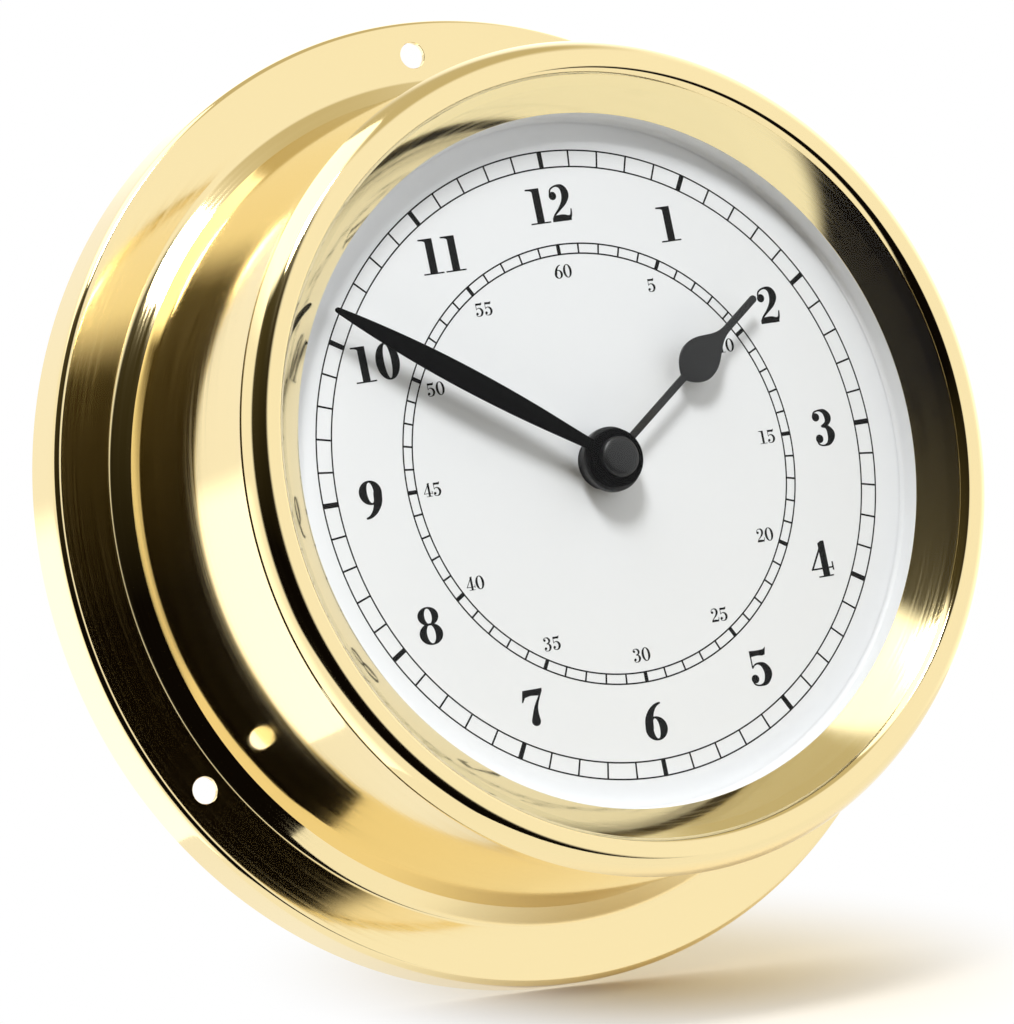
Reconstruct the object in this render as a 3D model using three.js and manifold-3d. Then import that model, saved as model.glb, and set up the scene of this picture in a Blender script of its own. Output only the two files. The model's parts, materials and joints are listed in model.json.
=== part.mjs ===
// A polished brass ship's clock for a wall: flanged case, rolled bezel, white dial, black hands
// and a quartz movement that is closed by the wall behind it.
//
// Every piece is drawn in the clock's own frame: x to the right and y to twelve o'clock as seen from
// the front, z out of the wall. The root group then stands the clock up, so +Z is up and the dial
// looks along -Y. The origin is the middle of the wall face.
import * as THREE from 'three';
import { mergeVertices } from 'three/addons/utils/BufferGeometryUtils.js';
import Module from 'manifold-3d';

const wasm = await Module();
wasm.setup();

// Driving dimensions, in millimetres and degrees.

// Fits that many pieces share.
const SEAT_GAP = 0.1; // between pieces that rest on each other
const RUN_GAP = 0.15; // round a turning shaft
const SIDE_GAP = 0.3; // between a housing and what it holds

// Dial opening and the sloping ring round it.
const SIGHT_RADIUS = 51.2;
const FUNNEL_DEPTH = 4.67;
const FUNNEL_SLOPE = 1.081; // growth of the radius for each millimetre forwards
const FUNNEL_WALL = 0.8; // measured square to the axis
const GLASS_THICKNESS = 1.4;

// Bezel: a rolled crest in front, a plain skirt behind that carries the dial.
const ROLL_WIDTH = 5.15;
const ROLL_HEIGHT = 3.5;
const CREST_OFFSET = 1.3; // from the roll's inner edge out to its highest line
const CREST_RISE = 1.13; // from the roll's inner edge up to its highest line
const LIP_OVERLAP = 0.28; // of the roll over the glass
const LIP_WALL = 0.06;
const ROLL_EDGE = 0.35; // upright outer edge under the roll
const SKIRT_WALL = 1.2;
const SKIRT_LENGTH = 12.2;
const SKIRT_FILLET = 4.3; // slope that centres the bezel in the case's mouth

// Case, from the wall forwards.
const SHEET = 0.8;
const FLANGE_HEIGHT = 8.1;
const RIM_DRAFT = 0.1;
const RIM_ROUND_WIDTH = 1.1;
const RIM_ROUND_HEIGHT = 1.1;
const FACE_WIDTH = 7.7;
const BEVEL_WIDTH = 2.7;
const BEVEL_HEIGHT = 1.5;
const TAPER_WIDTH = 1.15;
const TAPER_LENGTH = 32.7;
const FLARE_LENGTH = 2.8;
const FLARE_WIDTH = 0.45;
const SCREW_HOLE_RADIUS = 2;
const SCREW_HOLE_INSET = 3.55; // from the inner edge of the flange's flat face
const SCREW_HOLE_TURNS = [0, 121.2, -121.2]; // from twelve o'clock

// Dial and what holds it.
const SPACER_HEIGHT = 3.65;
const SPACER_SETBACK = 0.15; // behind the funnel's edge
const SPACER_FOOT = 0.7;
const DIAL_MARGIN = 3; // hidden behind the funnel
const DIAL_THICKNESS = 0.8;
const RETAINER_WIDTH = 3.2;
const RETAINER_THICKNESS = 1.2;
const CLAMP_SETBACK = 5.8; // behind the bezel's skirt
const CLAMP_THICKNESS = 1.2;
const CLAMP_WIDTH = 11.4;
const CLAMP_SCREW_RADIUS = 1.4;
const CLAMP_SCREW_HEAD_RADIUS = 2.6;
const CLAMP_SCREW_HEAD_HEIGHT = 1.5;
const CLAMP_SCREW_COUNT = 3;

// Hands, at the time on the photographed dial. Angles run clockwise from twelve.
const MINUTE_ANGLE = 304;
const HOUR_ANGLE = 55.33;
const MINUTE_LENGTH = 48.8;
const MINUTE_BELLY_AT = 26;
const MINUTE_BELLY_WIDTH = 3.5;
const MINUTE_ROOT_WIDTH = 1.6;
const MINUTE_TIP_WIDTH = 0.8;
const MINUTE_BOSS_RADIUS = 4.3;
const HOUR_LENGTH = 36.1;
const HOUR_STEM_WIDTH = 1.15;
const HOUR_PEAR_START = 18.6;
const HOUR_PEAR_END = 29.1;
const HOUR_PEAR_WIDEST = 21.8;
const HOUR_PEAR_WIDTH = 6.3;
const HOUR_BOSS_RADIUS = 4.8;
const HAND_THICKNESS = 0.4;
const HAND_BOSS_HEIGHT = 1.1;
const HAND_SPACING = 0.25; // between the bosses and the cap
const HOUR_BOSS_RISE = 2.3; // from the dial to the hour boss
const CAP_RADIUS = 3;
const CAP_HEIGHT = 1.35;

// Movement.
const PLATE_THICKNESS = 2;
const PLATE_TO_DIAL = 0.26;
const COVER_WALL = 1.5;
const EAR_REACH = 4.5; // of the ear's hole beyond the housing's side
const EAR_RADIUS = 3.4;
const EAR_DROP = 5; // below the hand arbor
const STUD_RADIUS = 1.5;
const STUD_TAIL = 0.7; // beyond its nut
const NUT_RADIUS = 3.1;
const NUT_HEIGHT = 2.2;
const BUSH_WALL = 1.2;
const BUSH_LENGTH = 2.2; // in front of the plate
const HOUR_TUBE_WALL = 0.85;
const MINUTE_ARBOR_RADIUS = 1.5;
const MINUTE_TAIL_RADIUS = 0.8;
const PIVOT_RADIUS = 0.45;
const PIVOT_GAP = 0.1;
const STUB_RADIUS = 0.9;
const WHEEL_THICKNESS = 1;
const MOTION_THICKNESS = 1.2;
const LAYER_PITCH = 2; // from one train wheel to the next one behind it
const MOTION_PITCH = 1.8;
const PINION_OVERHANG = 0.2; // of a pinion beyond its wheel's faces
const WASHER_RADIUS = 2.6;
const WASHER_THICKNESS = 0.4;
const COLLAR_RADIUS = 1.6;
const COLLAR_LENGTH = 0.7;

// Gears: tooth counts and modules. Each pair shares a module.
const ADDENDUM = 0.6;
const DEDENDUM = 0.9;
const TIP_SHARE = 0.2; // of the tooth pitch
const ROOT_SHARE = 0.5;
const ROTOR_PINION = { teeth: 6, module: 0.35 };
const INTERMEDIATE_WHEEL = { teeth: 36, module: 0.35 };
const INTERMEDIATE_PINION = { teeth: 8, module: 0.35 };
const SECONDS_WHEEL = { teeth: 40, module: 0.35 };
const SECONDS_PINION = { teeth: 6, module: 0.33 };
const THIRD_WHEEL = { teeth: 48, module: 0.33 };
const THIRD_PINION = { teeth: 6, module: 0.44 };
const CENTRE_WHEEL = { teeth: 45, module: 0.44 };
const CANNON_PINION = { teeth: 12, module: 0.5 };
const MOTION_WHEEL = { teeth: 36, module: 0.5 };
const SETTING_PINION = { teeth: 12, module: 0.5 };
const MOTION_PINION_TEETH = 10;
const HOUR_WHEEL_TEETH = 40;

// Where each arbor lies as seen from the one that it meshes with, counter-clockwise from three o'clock.
const THIRD_BEARING = 135;
const SECONDS_BEARING = 190;
const INTERMEDIATE_BEARING = 80;
const ROTOR_BEARING = 20;
const MOTION_BEARING = -20;
const SETTING_BEARING = 80;

// Drive and power.
const MAGNET_RADIUS = 2.5;
const MAGNET_HEIGHT = 3;
const MAGNET_GAP = 0.6; // to the stator
const STATOR_THICKNESS = 1;
const STATOR_POLE_WALL = 1.2;
const STATOR_LIMB = 2;
const STATOR_DROP = 5.5; // of the stator's lower edge below the rotor
const COIL_LENGTH = 19.5;
const COIL_FLANGE = 0.8;
const COIL_SIZE = 6.2;
const COIL_CORE_WALL = 0.5;
const COIL_FLANGE_RIM = 0.3; // of the bobbin's flanges beyond the wire
const COIL_END_ROOM = 2; // between the coil and the stator's uprights
const BOARD_WIDTH = 9.7;
const BOARD_LENGTH = 24;
const BOARD_THICKNESS = 1;
const CRYSTAL_RADIUS = 1.5;
const CRYSTAL_LENGTH = 8;
const CHIP_SIZE = 5;
const CHIP_HEIGHT = 1;
const BATTERY_RADIUS = 7.1;
const BATTERY_LENGTH = 50.5;
const BATTERY_NUB_RADIUS = 2.7;
const BATTERY_NUB_LENGTH = 1.2;
const CONTACT_THICKNESS = 0.5;
const CONTACT_WIDTH = 9;
const CONTACT_ROOM = 1.25; // between the battery and the housing's wall
const PARTITION_WALL = 1.2;
const TRAIN_FLOOR = 15.4; // from the hand arbor down to the battery's partition
const KNOB_RADIUS = 5.5;
const KNOB_HEIGHT = 3.2;
const KNOB_FLUTES = 18;
const KNOB_FLUTE_DEPTH = 0.35;
const KNOB_STANDOFF = 0.6;
const KNOB_WEB = 1; // closed end of the knob behind its stem
const STEM_RADIUS = 1;

// Facets.
const RING_FACETS = 48;
const SMALL_FACETS = 16;
const PIVOT_FACETS = 8;
const CURVE_STEPS = 4;
const HAND_STEPS = 6;

// Heights and radii that follow from the sizes above.
const faceInner = () => waistRadius + TAPER_WIDTH + BEVEL_WIDTH;
const rollInnerRadius = SIGHT_RADIUS + FUNNEL_DEPTH * FUNNEL_SLOPE;
const bezelRadius = rollInnerRadius + ROLL_WIDTH;
const mouthRadius = bezelRadius - 2 * SEAT_GAP;
const waistRadius = mouthRadius - FLARE_WIDTH;
const faceOuter = faceInner() + FACE_WIDTH;
const flangeRadius = faceOuter + RIM_ROUND_WIDTH;
const waistHeight = FLANGE_HEIGHT + BEVEL_HEIGHT + TAPER_LENGTH;
const mouthHeight = waistHeight + FLARE_LENGTH;
const bezelSeat = mouthHeight + SEAT_GAP;
const crestHeight = bezelSeat + ROLL_HEIGHT;
const seamHeight = crestHeight - CREST_RISE;
const funnelFoot = seamHeight - FUNNEL_DEPTH;
const spacerTop = funnelFoot - SEAT_GAP;
const dialFront = spacerTop - SPACER_HEIGHT - SEAT_GAP;
const dialBack = dialFront - DIAL_THICKNESS;
const dialRadius = SIGHT_RADIUS + DIAL_MARGIN;
const skirtInner = dialRadius + 2 * SEAT_GAP;
const skirtOuter = skirtInner + SKIRT_WALL;
const skirtBack = bezelSeat - SKIRT_LENGTH;
const retainerFront = dialBack - SEAT_GAP;
const retainerBack = retainerFront - RETAINER_THICKNESS;
const fixingRadius = dialRadius - RETAINER_WIDTH / 2;
const clampFront = skirtBack - CLAMP_SETBACK;
const clampBack = clampFront - CLAMP_THICKNESS;
const plateFront = dialBack - PLATE_TO_DIAL;
const plateBack = plateFront - PLATE_THICKNESS;
const hourBossBack = dialFront + HOUR_BOSS_RISE;
const minuteBossBack = hourBossBack + HAND_BOSS_HEIGHT + HAND_SPACING;
const capBack = minuteBossBack + HAND_BOSS_HEIGHT + SEAT_GAP;
const hourTubeInner = MINUTE_ARBOR_RADIUS + 1.5 * RUN_GAP;
const hourTubeOuter = hourTubeInner + HOUR_TUBE_WALL;
const bushInner = hourTubeOuter + RUN_GAP;
const bushOuter = bushInner + BUSH_WALL;
const batteryHeight = plateBack - RUN_GAP - BATTERY_RADIUS;
const coverFront = plateBack - SEAT_GAP;
const coverBack = batteryHeight - BATTERY_RADIUS - 2 * SIDE_GAP;
const coverInside = coverBack + COVER_WALL;
const batteryBayTop = -TRAIN_FLOOR - PARTITION_WALL;
const batteryDrop = batteryBayTop - SIDE_GAP - BATTERY_RADIUS;
const coverBottom = batteryDrop - BATTERY_RADIUS - SIDE_GAP - COVER_WALL;
const coverHalfWidth = BATTERY_LENGTH / 2 + CONTACT_ROOM + COVER_WALL;
const stemBack = coverBack - KNOB_STANDOFF - KNOB_HEIGHT + KNOB_WEB + SEAT_GAP;

// Wheels in layers behind the plate: the hour wheel first, the intermediate wheel last.
const hourLayer = plateBack - MOTION_THICKNESS - 4 * SEAT_GAP;
const motionLayer = hourLayer - MOTION_PITCH;
const centreLayer = motionLayer - MOTION_PITCH;
const thirdLayer = centreLayer - LAYER_PITCH;
const secondsLayer = thirdLayer - LAYER_PITCH;
const intermediateLayer = secondsLayer - LAYER_PITCH;

const MATERIALS = {
  brass: { color: 0xe3c16a, roughness: 0.12, metalness: 1 },
  bareBrass: { color: 0xc9a24e, roughness: 0.35, metalness: 1 },
  steel: { color: 0xb9bcc0, roughness: 0.35, metalness: 1 },
  glass: { color: 0xf4f8fa, roughness: 0.02, metalness: 0, transparent: true, opacity: 0.2 },
  dialWhite: { color: 0xf2f3f6, roughness: 0.45, metalness: 0 },
  spacerWhite: { color: 0xe6e7ea, roughness: 0.5, metalness: 0 },
  handBlack: { color: 0x17171a, roughness: 0.4, metalness: 0 },
  housingBlack: { color: 0x1d1e20, roughness: 0.55, metalness: 0 },
  gearWhite: { color: 0xe9e6da, roughness: 0.45, metalness: 0 },
  knobGrey: { color: 0x55585c, roughness: 0.5, metalness: 0 },
  magnet: { color: 0x3a3a3d, roughness: 0.4, metalness: 0.6 },
  copper: { color: 0xb5683a, roughness: 0.4, metalness: 1 },
  board: { color: 0x2c6b45, roughness: 0.5, metalness: 0 },
  battery: { color: 0x8f9398, roughness: 0.4, metalness: 0.3 },
};

// Shapes.

const radians = THREE.MathUtils.degToRad;

/** Points of a regular polygon, first corner on +x. */
function circle(radius, facets = SMALL_FACETS, x = 0, y = 0) {
  return Array.from({ length: facets }, (_, i) => {
    const angle = (2 * Math.PI * i) / facets;
    return new THREE.Vector2(x + radius * Math.cos(angle), y + radius * Math.sin(angle));
  });
}

/** Corners of an upright rectangle. */
function rectangle(left, bottom, right, top) {
  const corners = [[left, bottom], [right, bottom], [right, top], [left, top]];
  return corners.map(([x, y]) => new THREE.Vector2(x, y));
}

/** Upright prism over an outline with holes, from one height to another. */
function prism(outline, back, front, holes = []) {
  const shape = new THREE.Shape(outline);
  shape.holes = holes.map((points) => new THREE.Path(points));
  const geometry = new THREE.ExtrudeGeometry(shape, { depth: front - back, bevelEnabled: false });
  return geometry.translate(0, 0, back);
}

/** Upright box between two corners. */
function block(low, high) {
  return prism(rectangle(low[0], low[1], high[0], high[1]), low[2], high[2]);
}

/** Turned piece: a closed outline of radius and height carried round the clock's axis. */
function turned(outline, facets = RING_FACETS) {
  const points = outline.map(([radius, height]) => new THREE.Vector2(radius, height));
  points.push(points[0].clone());
  return outward(new THREE.LatheGeometry(points, facets).rotateX(Math.PI / 2));
}

/** The same geometry with only positions, shared corners and no empty triangles. */
function bare(geometry) {
  const positions = geometry.clone();
  positions.deleteAttribute('normal');
  positions.deleteAttribute('uv');
  const merged = mergeVertices(positions, 1e-4);
  const index = [];
  for (let i = 0; i < merged.index.count; i += 3) {
    const [a, b, c] = [0, 1, 2].map((corner) => merged.index.getX(i + corner));
    if (a !== b && b !== c && c !== a) index.push(a, b, c);
  }
  merged.setIndex(index);
  return merged;
}

/** Turns the faces of a closed geometry outwards. */
function outward(geometry) {
  const merged = bare(geometry);
  const { position } = merged.attributes;
  const corner = (i) => new THREE.Vector3().fromBufferAttribute(position, merged.index.getX(i));
  let volume = 0;
  for (let i = 0; i < merged.index.count; i += 3) {
    volume += corner(i).dot(corner(i + 1).cross(corner(i + 2)));
  }
  if (volume < 0) merged.setIndex(Array.from(merged.index.array).reverse());
  return merged;
}

function solid(geometry) {
  const { attributes, index } = bare(geometry);
  return new wasm.Manifold(new wasm.Mesh({
    numProp: 3,
    vertProperties: new Float32Array(attributes.position.array),
    triVerts: new Uint32Array(index.array),
  }));
}

function geometryOf(manifold) {
  const mesh = manifold.getMesh();
  const geometry = new THREE.BufferGeometry();
  geometry.setAttribute('position', new THREE.BufferAttribute(new Float32Array(mesh.vertProperties), 3));
  geometry.setIndex(Array.from(mesh.triVerts));
  return geometry;
}

/** One solid from pieces that reach into each other. */
function join(...geometries) {
  return geometryOf(geometries.map(solid).reduce((sum, next) => sum.add(next)));
}

/** A solid with the other solids taken out of it. */
function cut(geometry, ...tools) {
  return geometryOf(tools.map(solid).reduce((rest, tool) => rest.subtract(tool), solid(geometry)));
}

/** Moves an outline sideways by a distance, to the left of its direction of travel. */
function offset(points, distance) {
  return points.map((point, i) => {
    const into = Math.max(i - 1, 0);
    const outOf = Math.min(i, points.length - 2);
    const inDirection = points[into + 1].clone().sub(points[into]).normalize();
    const outDirection = points[outOf + 1].clone().sub(points[outOf]).normalize();
    const inNormal = new THREE.Vector2(-inDirection.y, inDirection.x);
    const outNormal = new THREE.Vector2(-outDirection.y, outDirection.x);
    const mitre = inNormal.clone().add(outNormal).normalize();
    return mitre.clone().multiplyScalar(distance / mitre.dot(inNormal)).add(point);
  });
}

/** Radius of an open outline where it crosses a height. */
function radiusAt(points, height) {
  for (let i = points.length - 1; i > 0; i -= 1) {
    const [low, high] = [points[i - 1], points[i]];
    if (low.y <= height && height <= high.y) {
      return THREE.MathUtils.mapLinear(height, low.y, high.y, low.x, high.x);
    }
  }
  return points[0].x;
}

/** A point seen from another at a bearing, counter-clockwise from three o'clock. */
function polar(from, distance, bearing) {
  const angle = radians(bearing);
  return new THREE.Vector2(from.x + distance * Math.cos(angle), from.y + distance * Math.sin(angle));
}

// Gears.

const pitchRadius = ({ teeth, module }) => (teeth * module) / 2;
const tipRadius = (gear) => pitchRadius(gear) + ADDENDUM * gear.module;
const spacing = (one, other) => pitchRadius(one) + pitchRadius(other);

/** Outline of a gear with straight-sided teeth; the first tooth points along the phase angle. */
function teeth(gear, phase) {
  const step = (2 * Math.PI) / gear.teeth;
  const root = pitchRadius(gear) - DEDENDUM * gear.module;
  const corners = [[root, -ROOT_SHARE / 2], [tipRadius(gear), -TIP_SHARE / 2],
    [tipRadius(gear), TIP_SHARE / 2], [root, ROOT_SHARE / 2]];
  return Array.from({ length: gear.teeth }, (_, i) => corners.map(([radius, share]) => {
    const angle = phase + (i + share) * step;
    return new THREE.Vector2(radius * Math.cos(angle), radius * Math.sin(angle));
  })).flat();
}

/** Phase at which a gear has a gap where its neighbour has a tooth; the bearing runs from the neighbour. */
function meshedPhase(neighbour, neighbourPhase, bearing, gear) {
  const step = (2 * Math.PI) / neighbour.teeth;
  const past = radians(bearing) - neighbourPhase;
  const offCentre = past - Math.round(past / step) * step;
  return radians(bearing) + Math.PI + (offCentre * neighbour.teeth) / gear.teeth + Math.PI / gear.teeth;
}

// Places of the arbors and the phases of their gears.

const motionSpacing = spacing(CANNON_PINION, MOTION_WHEEL);
const HOUR_MODULE = (2 * motionSpacing) / (MOTION_PINION_TEETH + HOUR_WHEEL_TEETH);
const MOTION_PINION = { teeth: MOTION_PINION_TEETH, module: HOUR_MODULE };
const HOUR_WHEEL = { teeth: HOUR_WHEEL_TEETH, module: HOUR_MODULE };
const centreAt = new THREE.Vector2(0, 0);
const thirdAt = polar(centreAt, spacing(CENTRE_WHEEL, THIRD_PINION), THIRD_BEARING);
const secondsAt = polar(thirdAt, spacing(THIRD_WHEEL, SECONDS_PINION), SECONDS_BEARING);
const intermediateAt = polar(
  secondsAt, spacing(SECONDS_WHEEL, INTERMEDIATE_PINION), INTERMEDIATE_BEARING,
);
const rotorAt = polar(intermediateAt, spacing(INTERMEDIATE_WHEEL, ROTOR_PINION), ROTOR_BEARING);
const motionAt = polar(centreAt, motionSpacing, MOTION_BEARING);
const settingAt = polar(motionAt, spacing(MOTION_WHEEL, SETTING_PINION), SETTING_BEARING);
const trainPivots = [thirdAt, secondsAt, intermediateAt, rotorAt, settingAt];
const coilLeft = rotorAt.x + MAGNET_RADIUS + MAGNET_GAP + STATOR_POLE_WALL + COIL_END_ROOM;
const coilAxis = rotorAt.y;
const coverTop = Math.max(
  intermediateAt.y + tipRadius(INTERMEDIATE_WHEEL),
  rotorAt.y + MAGNET_RADIUS + MAGNET_GAP + STATOR_POLE_WALL,
  coilAxis + COIL_SIZE / 2,
) + SIDE_GAP + COVER_WALL;
const studAt = [-1, 1].map((side) => new THREE.Vector2(side * (coverHalfWidth + EAR_REACH), -EAR_DROP));

const motionWheelPhase = meshedPhase(CANNON_PINION, 0, MOTION_BEARING, MOTION_WHEEL);
const settingPhase = meshedPhase(MOTION_WHEEL, motionWheelPhase, SETTING_BEARING, SETTING_PINION);
const hourWheelPhase = meshedPhase(MOTION_PINION, 0, MOTION_BEARING + 180, HOUR_WHEEL);
const intermediateWheelPhase = meshedPhase(ROTOR_PINION, 0, ROTOR_BEARING + 180, INTERMEDIATE_WHEEL);
const secondsWheelPhase = meshedPhase(INTERMEDIATE_PINION, 0, INTERMEDIATE_BEARING + 180, SECONDS_WHEEL);
const thirdWheelPhase = meshedPhase(SECONDS_PINION, 0, SECONDS_BEARING + 180, THIRD_WHEEL);
const centreWheelPhase = meshedPhase(THIRD_PINION, 0, THIRD_BEARING + 180, CENTRE_WHEEL);

// Scene graph.

const clock = new THREE.Group();
clock.rotation.x = Math.PI / 2;

function add(name, geometry, material, parent = clock) {
  const mesh = new THREE.Mesh(geometry, new THREE.MeshStandardMaterial(MATERIALS[material]));
  mesh.name = name;
  parent.add(mesh);
}

/** Group whose origin is an arbor's place on the plate. */
function arborGroup(place) {
  const group = new THREE.Group();
  group.position.set(place.x, place.y, 0);
  clock.add(group);
  return group;
}

// Case.

/** Outside of the case from the wall to its mouth: rim, flat face, bevel, tapering barrel and flare. */
function caseOutline() {
  const barrelRadius = waistRadius + TAPER_WIDTH;
  const barrelFoot = FLANGE_HEIGHT + BEVEL_HEIGHT;
  const rimHeight = FLANGE_HEIGHT - RIM_ROUND_HEIGHT;
  const path = new THREE.Path();
  path.moveTo(flangeRadius - RIM_DRAFT, 0);
  path.lineTo(flangeRadius, rimHeight);
  path.bezierCurveTo(
    flangeRadius, rimHeight + 0.6 * RIM_ROUND_HEIGHT,
    faceOuter + 0.6 * RIM_ROUND_WIDTH, FLANGE_HEIGHT,
    faceOuter, FLANGE_HEIGHT,
  );
  path.lineTo(faceInner(), FLANGE_HEIGHT);
  path.lineTo(barrelRadius, barrelFoot);
  path.bezierCurveTo(
    waistRadius + 0.635 * TAPER_WIDTH, barrelFoot + 0.092 * TAPER_LENGTH,
    waistRadius, barrelFoot + 0.725 * TAPER_LENGTH,
    waistRadius, waistHeight,
  );
  path.bezierCurveTo(
    waistRadius, waistHeight + 0.5 * FLARE_LENGTH,
    waistRadius, waistHeight + 0.78 * FLARE_LENGTH,
    mouthRadius, mouthHeight,
  );
  return path.getPoints(CURVE_STEPS);
}

const caseOutside = caseOutline();
const caseInside = offset(caseOutside, SHEET);
caseInside[0].y = 0;
caseInside.at(-1).set(radiusAt(caseInside, mouthHeight), mouthHeight);

function buildCase() {
  const shell = turned([...caseOutside, ...caseInside.slice().reverse()].map(({ x, y }) => [x, y]));
  const holeCircle = faceInner() + SCREW_HOLE_INSET;
  const drills = SCREW_HOLE_TURNS.map((turn) => {
    const { x, y } = polar(centreAt, holeCircle, 90 - turn);
    return prism(circle(SCREW_HOLE_RADIUS, SMALL_FACETS, x, y), 0, FLANGE_HEIGHT + SHEET);
  });
  add('case_shell', cut(shell, ...drills), 'brass');
}

// Bezel, glass and funnel.

const funnelRadius = (height) => SIGHT_RADIUS + (height - funnelFoot) * FUNNEL_SLOPE;
const funnelBackRadius = (height) => funnelRadius(height) + FUNNEL_WALL;
const funnelTop = seamHeight - SEAT_GAP / 2;
const glassFront = seamHeight - SEAT_GAP / 2;
const glassBack = glassFront - GLASS_THICKNESS;

function buildBezel() {
  const lipRadius = rollInnerRadius - LIP_OVERLAP;
  const lipHeight = seamHeight + SEAT_GAP / 2;
  const crestRadius = rollInnerRadius + CREST_OFFSET;
  const edgeHeight = bezelSeat + ROLL_EDGE;
  const roll = new THREE.Path();
  roll.moveTo(lipRadius, lipHeight + LIP_WALL);
  roll.bezierCurveTo(
    lipRadius + 0.3 * CREST_OFFSET, lipHeight + 0.7 * CREST_RISE,
    crestRadius - 0.5 * CREST_OFFSET, crestHeight,
    crestRadius, crestHeight,
  );
  roll.bezierCurveTo(
    crestRadius + 0.46 * ROLL_WIDTH, crestHeight,
    bezelRadius - 0.14 * ROLL_WIDTH, edgeHeight + 0.6 * ROLL_HEIGHT,
    bezelRadius, edgeHeight,
  );
  const behindFunnel = (height) => funnelBackRadius(height) + SEAT_GAP;
  const skirtTop = funnelFoot + (skirtInner - SIGHT_RADIUS - FUNNEL_WALL - SEAT_GAP) / FUNNEL_SLOPE;
  add('bezel_ring', turned([
    [lipRadius, lipHeight],
    ...roll.getPoints(CURVE_STEPS).map(({ x, y }) => [x, y]),
    [bezelRadius - ROLL_EDGE / 2, bezelSeat],
    [skirtOuter + SKIRT_FILLET, bezelSeat],
    [skirtOuter, bezelSeat - SKIRT_FILLET],
    [skirtOuter, skirtBack],
    [skirtInner, skirtBack],
    [skirtInner, skirtTop],
    [behindFunnel(lipHeight), lipHeight],
  ]), 'brass');
}

function buildGlass() {
  add('glass', turned([
    [0, glassBack],
    [funnelRadius(glassBack) - SEAT_GAP, glassBack],
    [funnelRadius(glassFront) - SEAT_GAP, glassFront],
    [0, glassFront],
  ]), 'glass');
}

function buildFunnel() {
  add('funnel_ring', turned([
    [SIGHT_RADIUS, funnelFoot],
    [funnelBackRadius(funnelFoot), funnelFoot],
    [funnelBackRadius(funnelTop), funnelTop],
    [funnelRadius(funnelTop), funnelTop],
  ]), 'brass');
}

// Dial, spacer and the rings that hold them.

const FIRST_FIXING = 30; // bearing of the first clamp screw
const fixingPlaces = Array.from({ length: CLAMP_SCREW_COUNT }, (_, i) => (
  polar(centreAt, fixingRadius, FIRST_FIXING + (360 * i) / CLAMP_SCREW_COUNT)
));
const fixingHoles = fixingPlaces.map(({ x, y }) => (
  circle(CLAMP_SCREW_RADIUS + RUN_GAP, SMALL_FACETS, x, y)
));

function buildDial() {
  const wall = SIGHT_RADIUS + SPACER_SETBACK;
  const foot = spacerTop - SPACER_HEIGHT;
  add('dial_spacer', turned([
    [wall - SPACER_FOOT, foot],
    [dialRadius, foot],
    [dialRadius, spacerTop],
    [wall, spacerTop],
    [wall, foot + SPACER_FOOT],
    [wall - 0.3 * SPACER_FOOT, foot + 0.3 * SPACER_FOOT],
  ]), 'spacerWhite');
  add('dial_plate', prism(
    circle(dialRadius, RING_FACETS), dialBack, dialFront, [circle(bushOuter + SEAT_GAP)],
  ), 'dialWhite');
  add('dial_retaining_ring', prism(
    circle(dialRadius, RING_FACETS), retainerBack, retainerFront,
    [circle(dialRadius - RETAINER_WIDTH, RING_FACETS), ...fixingHoles],
  ), 'steel');
}

function buildClamp() {
  const rooms = [clampBack, clampFront].map((height) => radiusAt(caseInside, height));
  const outer = Math.min(...rooms) - 2 * SEAT_GAP;
  add('case_clamp_ring', prism(
    circle(outer, RING_FACETS), clampBack, clampFront,
    [circle(outer - CLAMP_WIDTH, RING_FACETS), ...fixingHoles],
  ), 'steel');
  fixingPlaces.forEach(({ x, y }, i) => {
    const headFront = clampBack - SEAT_GAP;
    const headBack = headFront - CLAMP_SCREW_HEAD_HEIGHT;
    const head = prism(circle(CLAMP_SCREW_HEAD_RADIUS), headBack, headFront);
    const shank = prism(circle(CLAMP_SCREW_RADIUS), (headBack + headFront) / 2, retainerFront - SEAT_GAP);
    add(`clamp_screw_${i + 1}`, join(head, shank).translate(x, y, 0), 'steel');
  });
}

// Hands.

/** Both sides of a hand from one side's points, which run from the root to the tip along +y. */
function mirrored(side) {
  const other = side.filter(({ x }) => x > 0).map(({ x, y }) => new THREE.Vector2(-x, y));
  return [...side, ...other.reverse()];
}

function minuteOutline() {
  const belly = MINUTE_BELLY_WIDTH / 2;
  const root = MINUTE_ROOT_WIDTH / 2;
  const tip = MINUTE_TIP_WIDTH / 2;
  const side = new THREE.Path();
  side.moveTo(root, MINUTE_BOSS_RADIUS - 1);
  side.bezierCurveTo(1.12 * root, 0.31 * MINUTE_BELLY_AT, belly, 0.54 * MINUTE_BELLY_AT, belly, MINUTE_BELLY_AT);
  side.bezierCurveTo(
    belly, MINUTE_BELLY_AT + 0.45 * (MINUTE_LENGTH - MINUTE_BELLY_AT),
    0.48 * belly, MINUTE_LENGTH - 0.165 * (MINUTE_LENGTH - MINUTE_BELLY_AT),
    tip, MINUTE_LENGTH - tip,
  );
  side.quadraticCurveTo(tip, MINUTE_LENGTH, 0, MINUTE_LENGTH);
  return mirrored(side.getPoints(HAND_STEPS));
}

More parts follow.
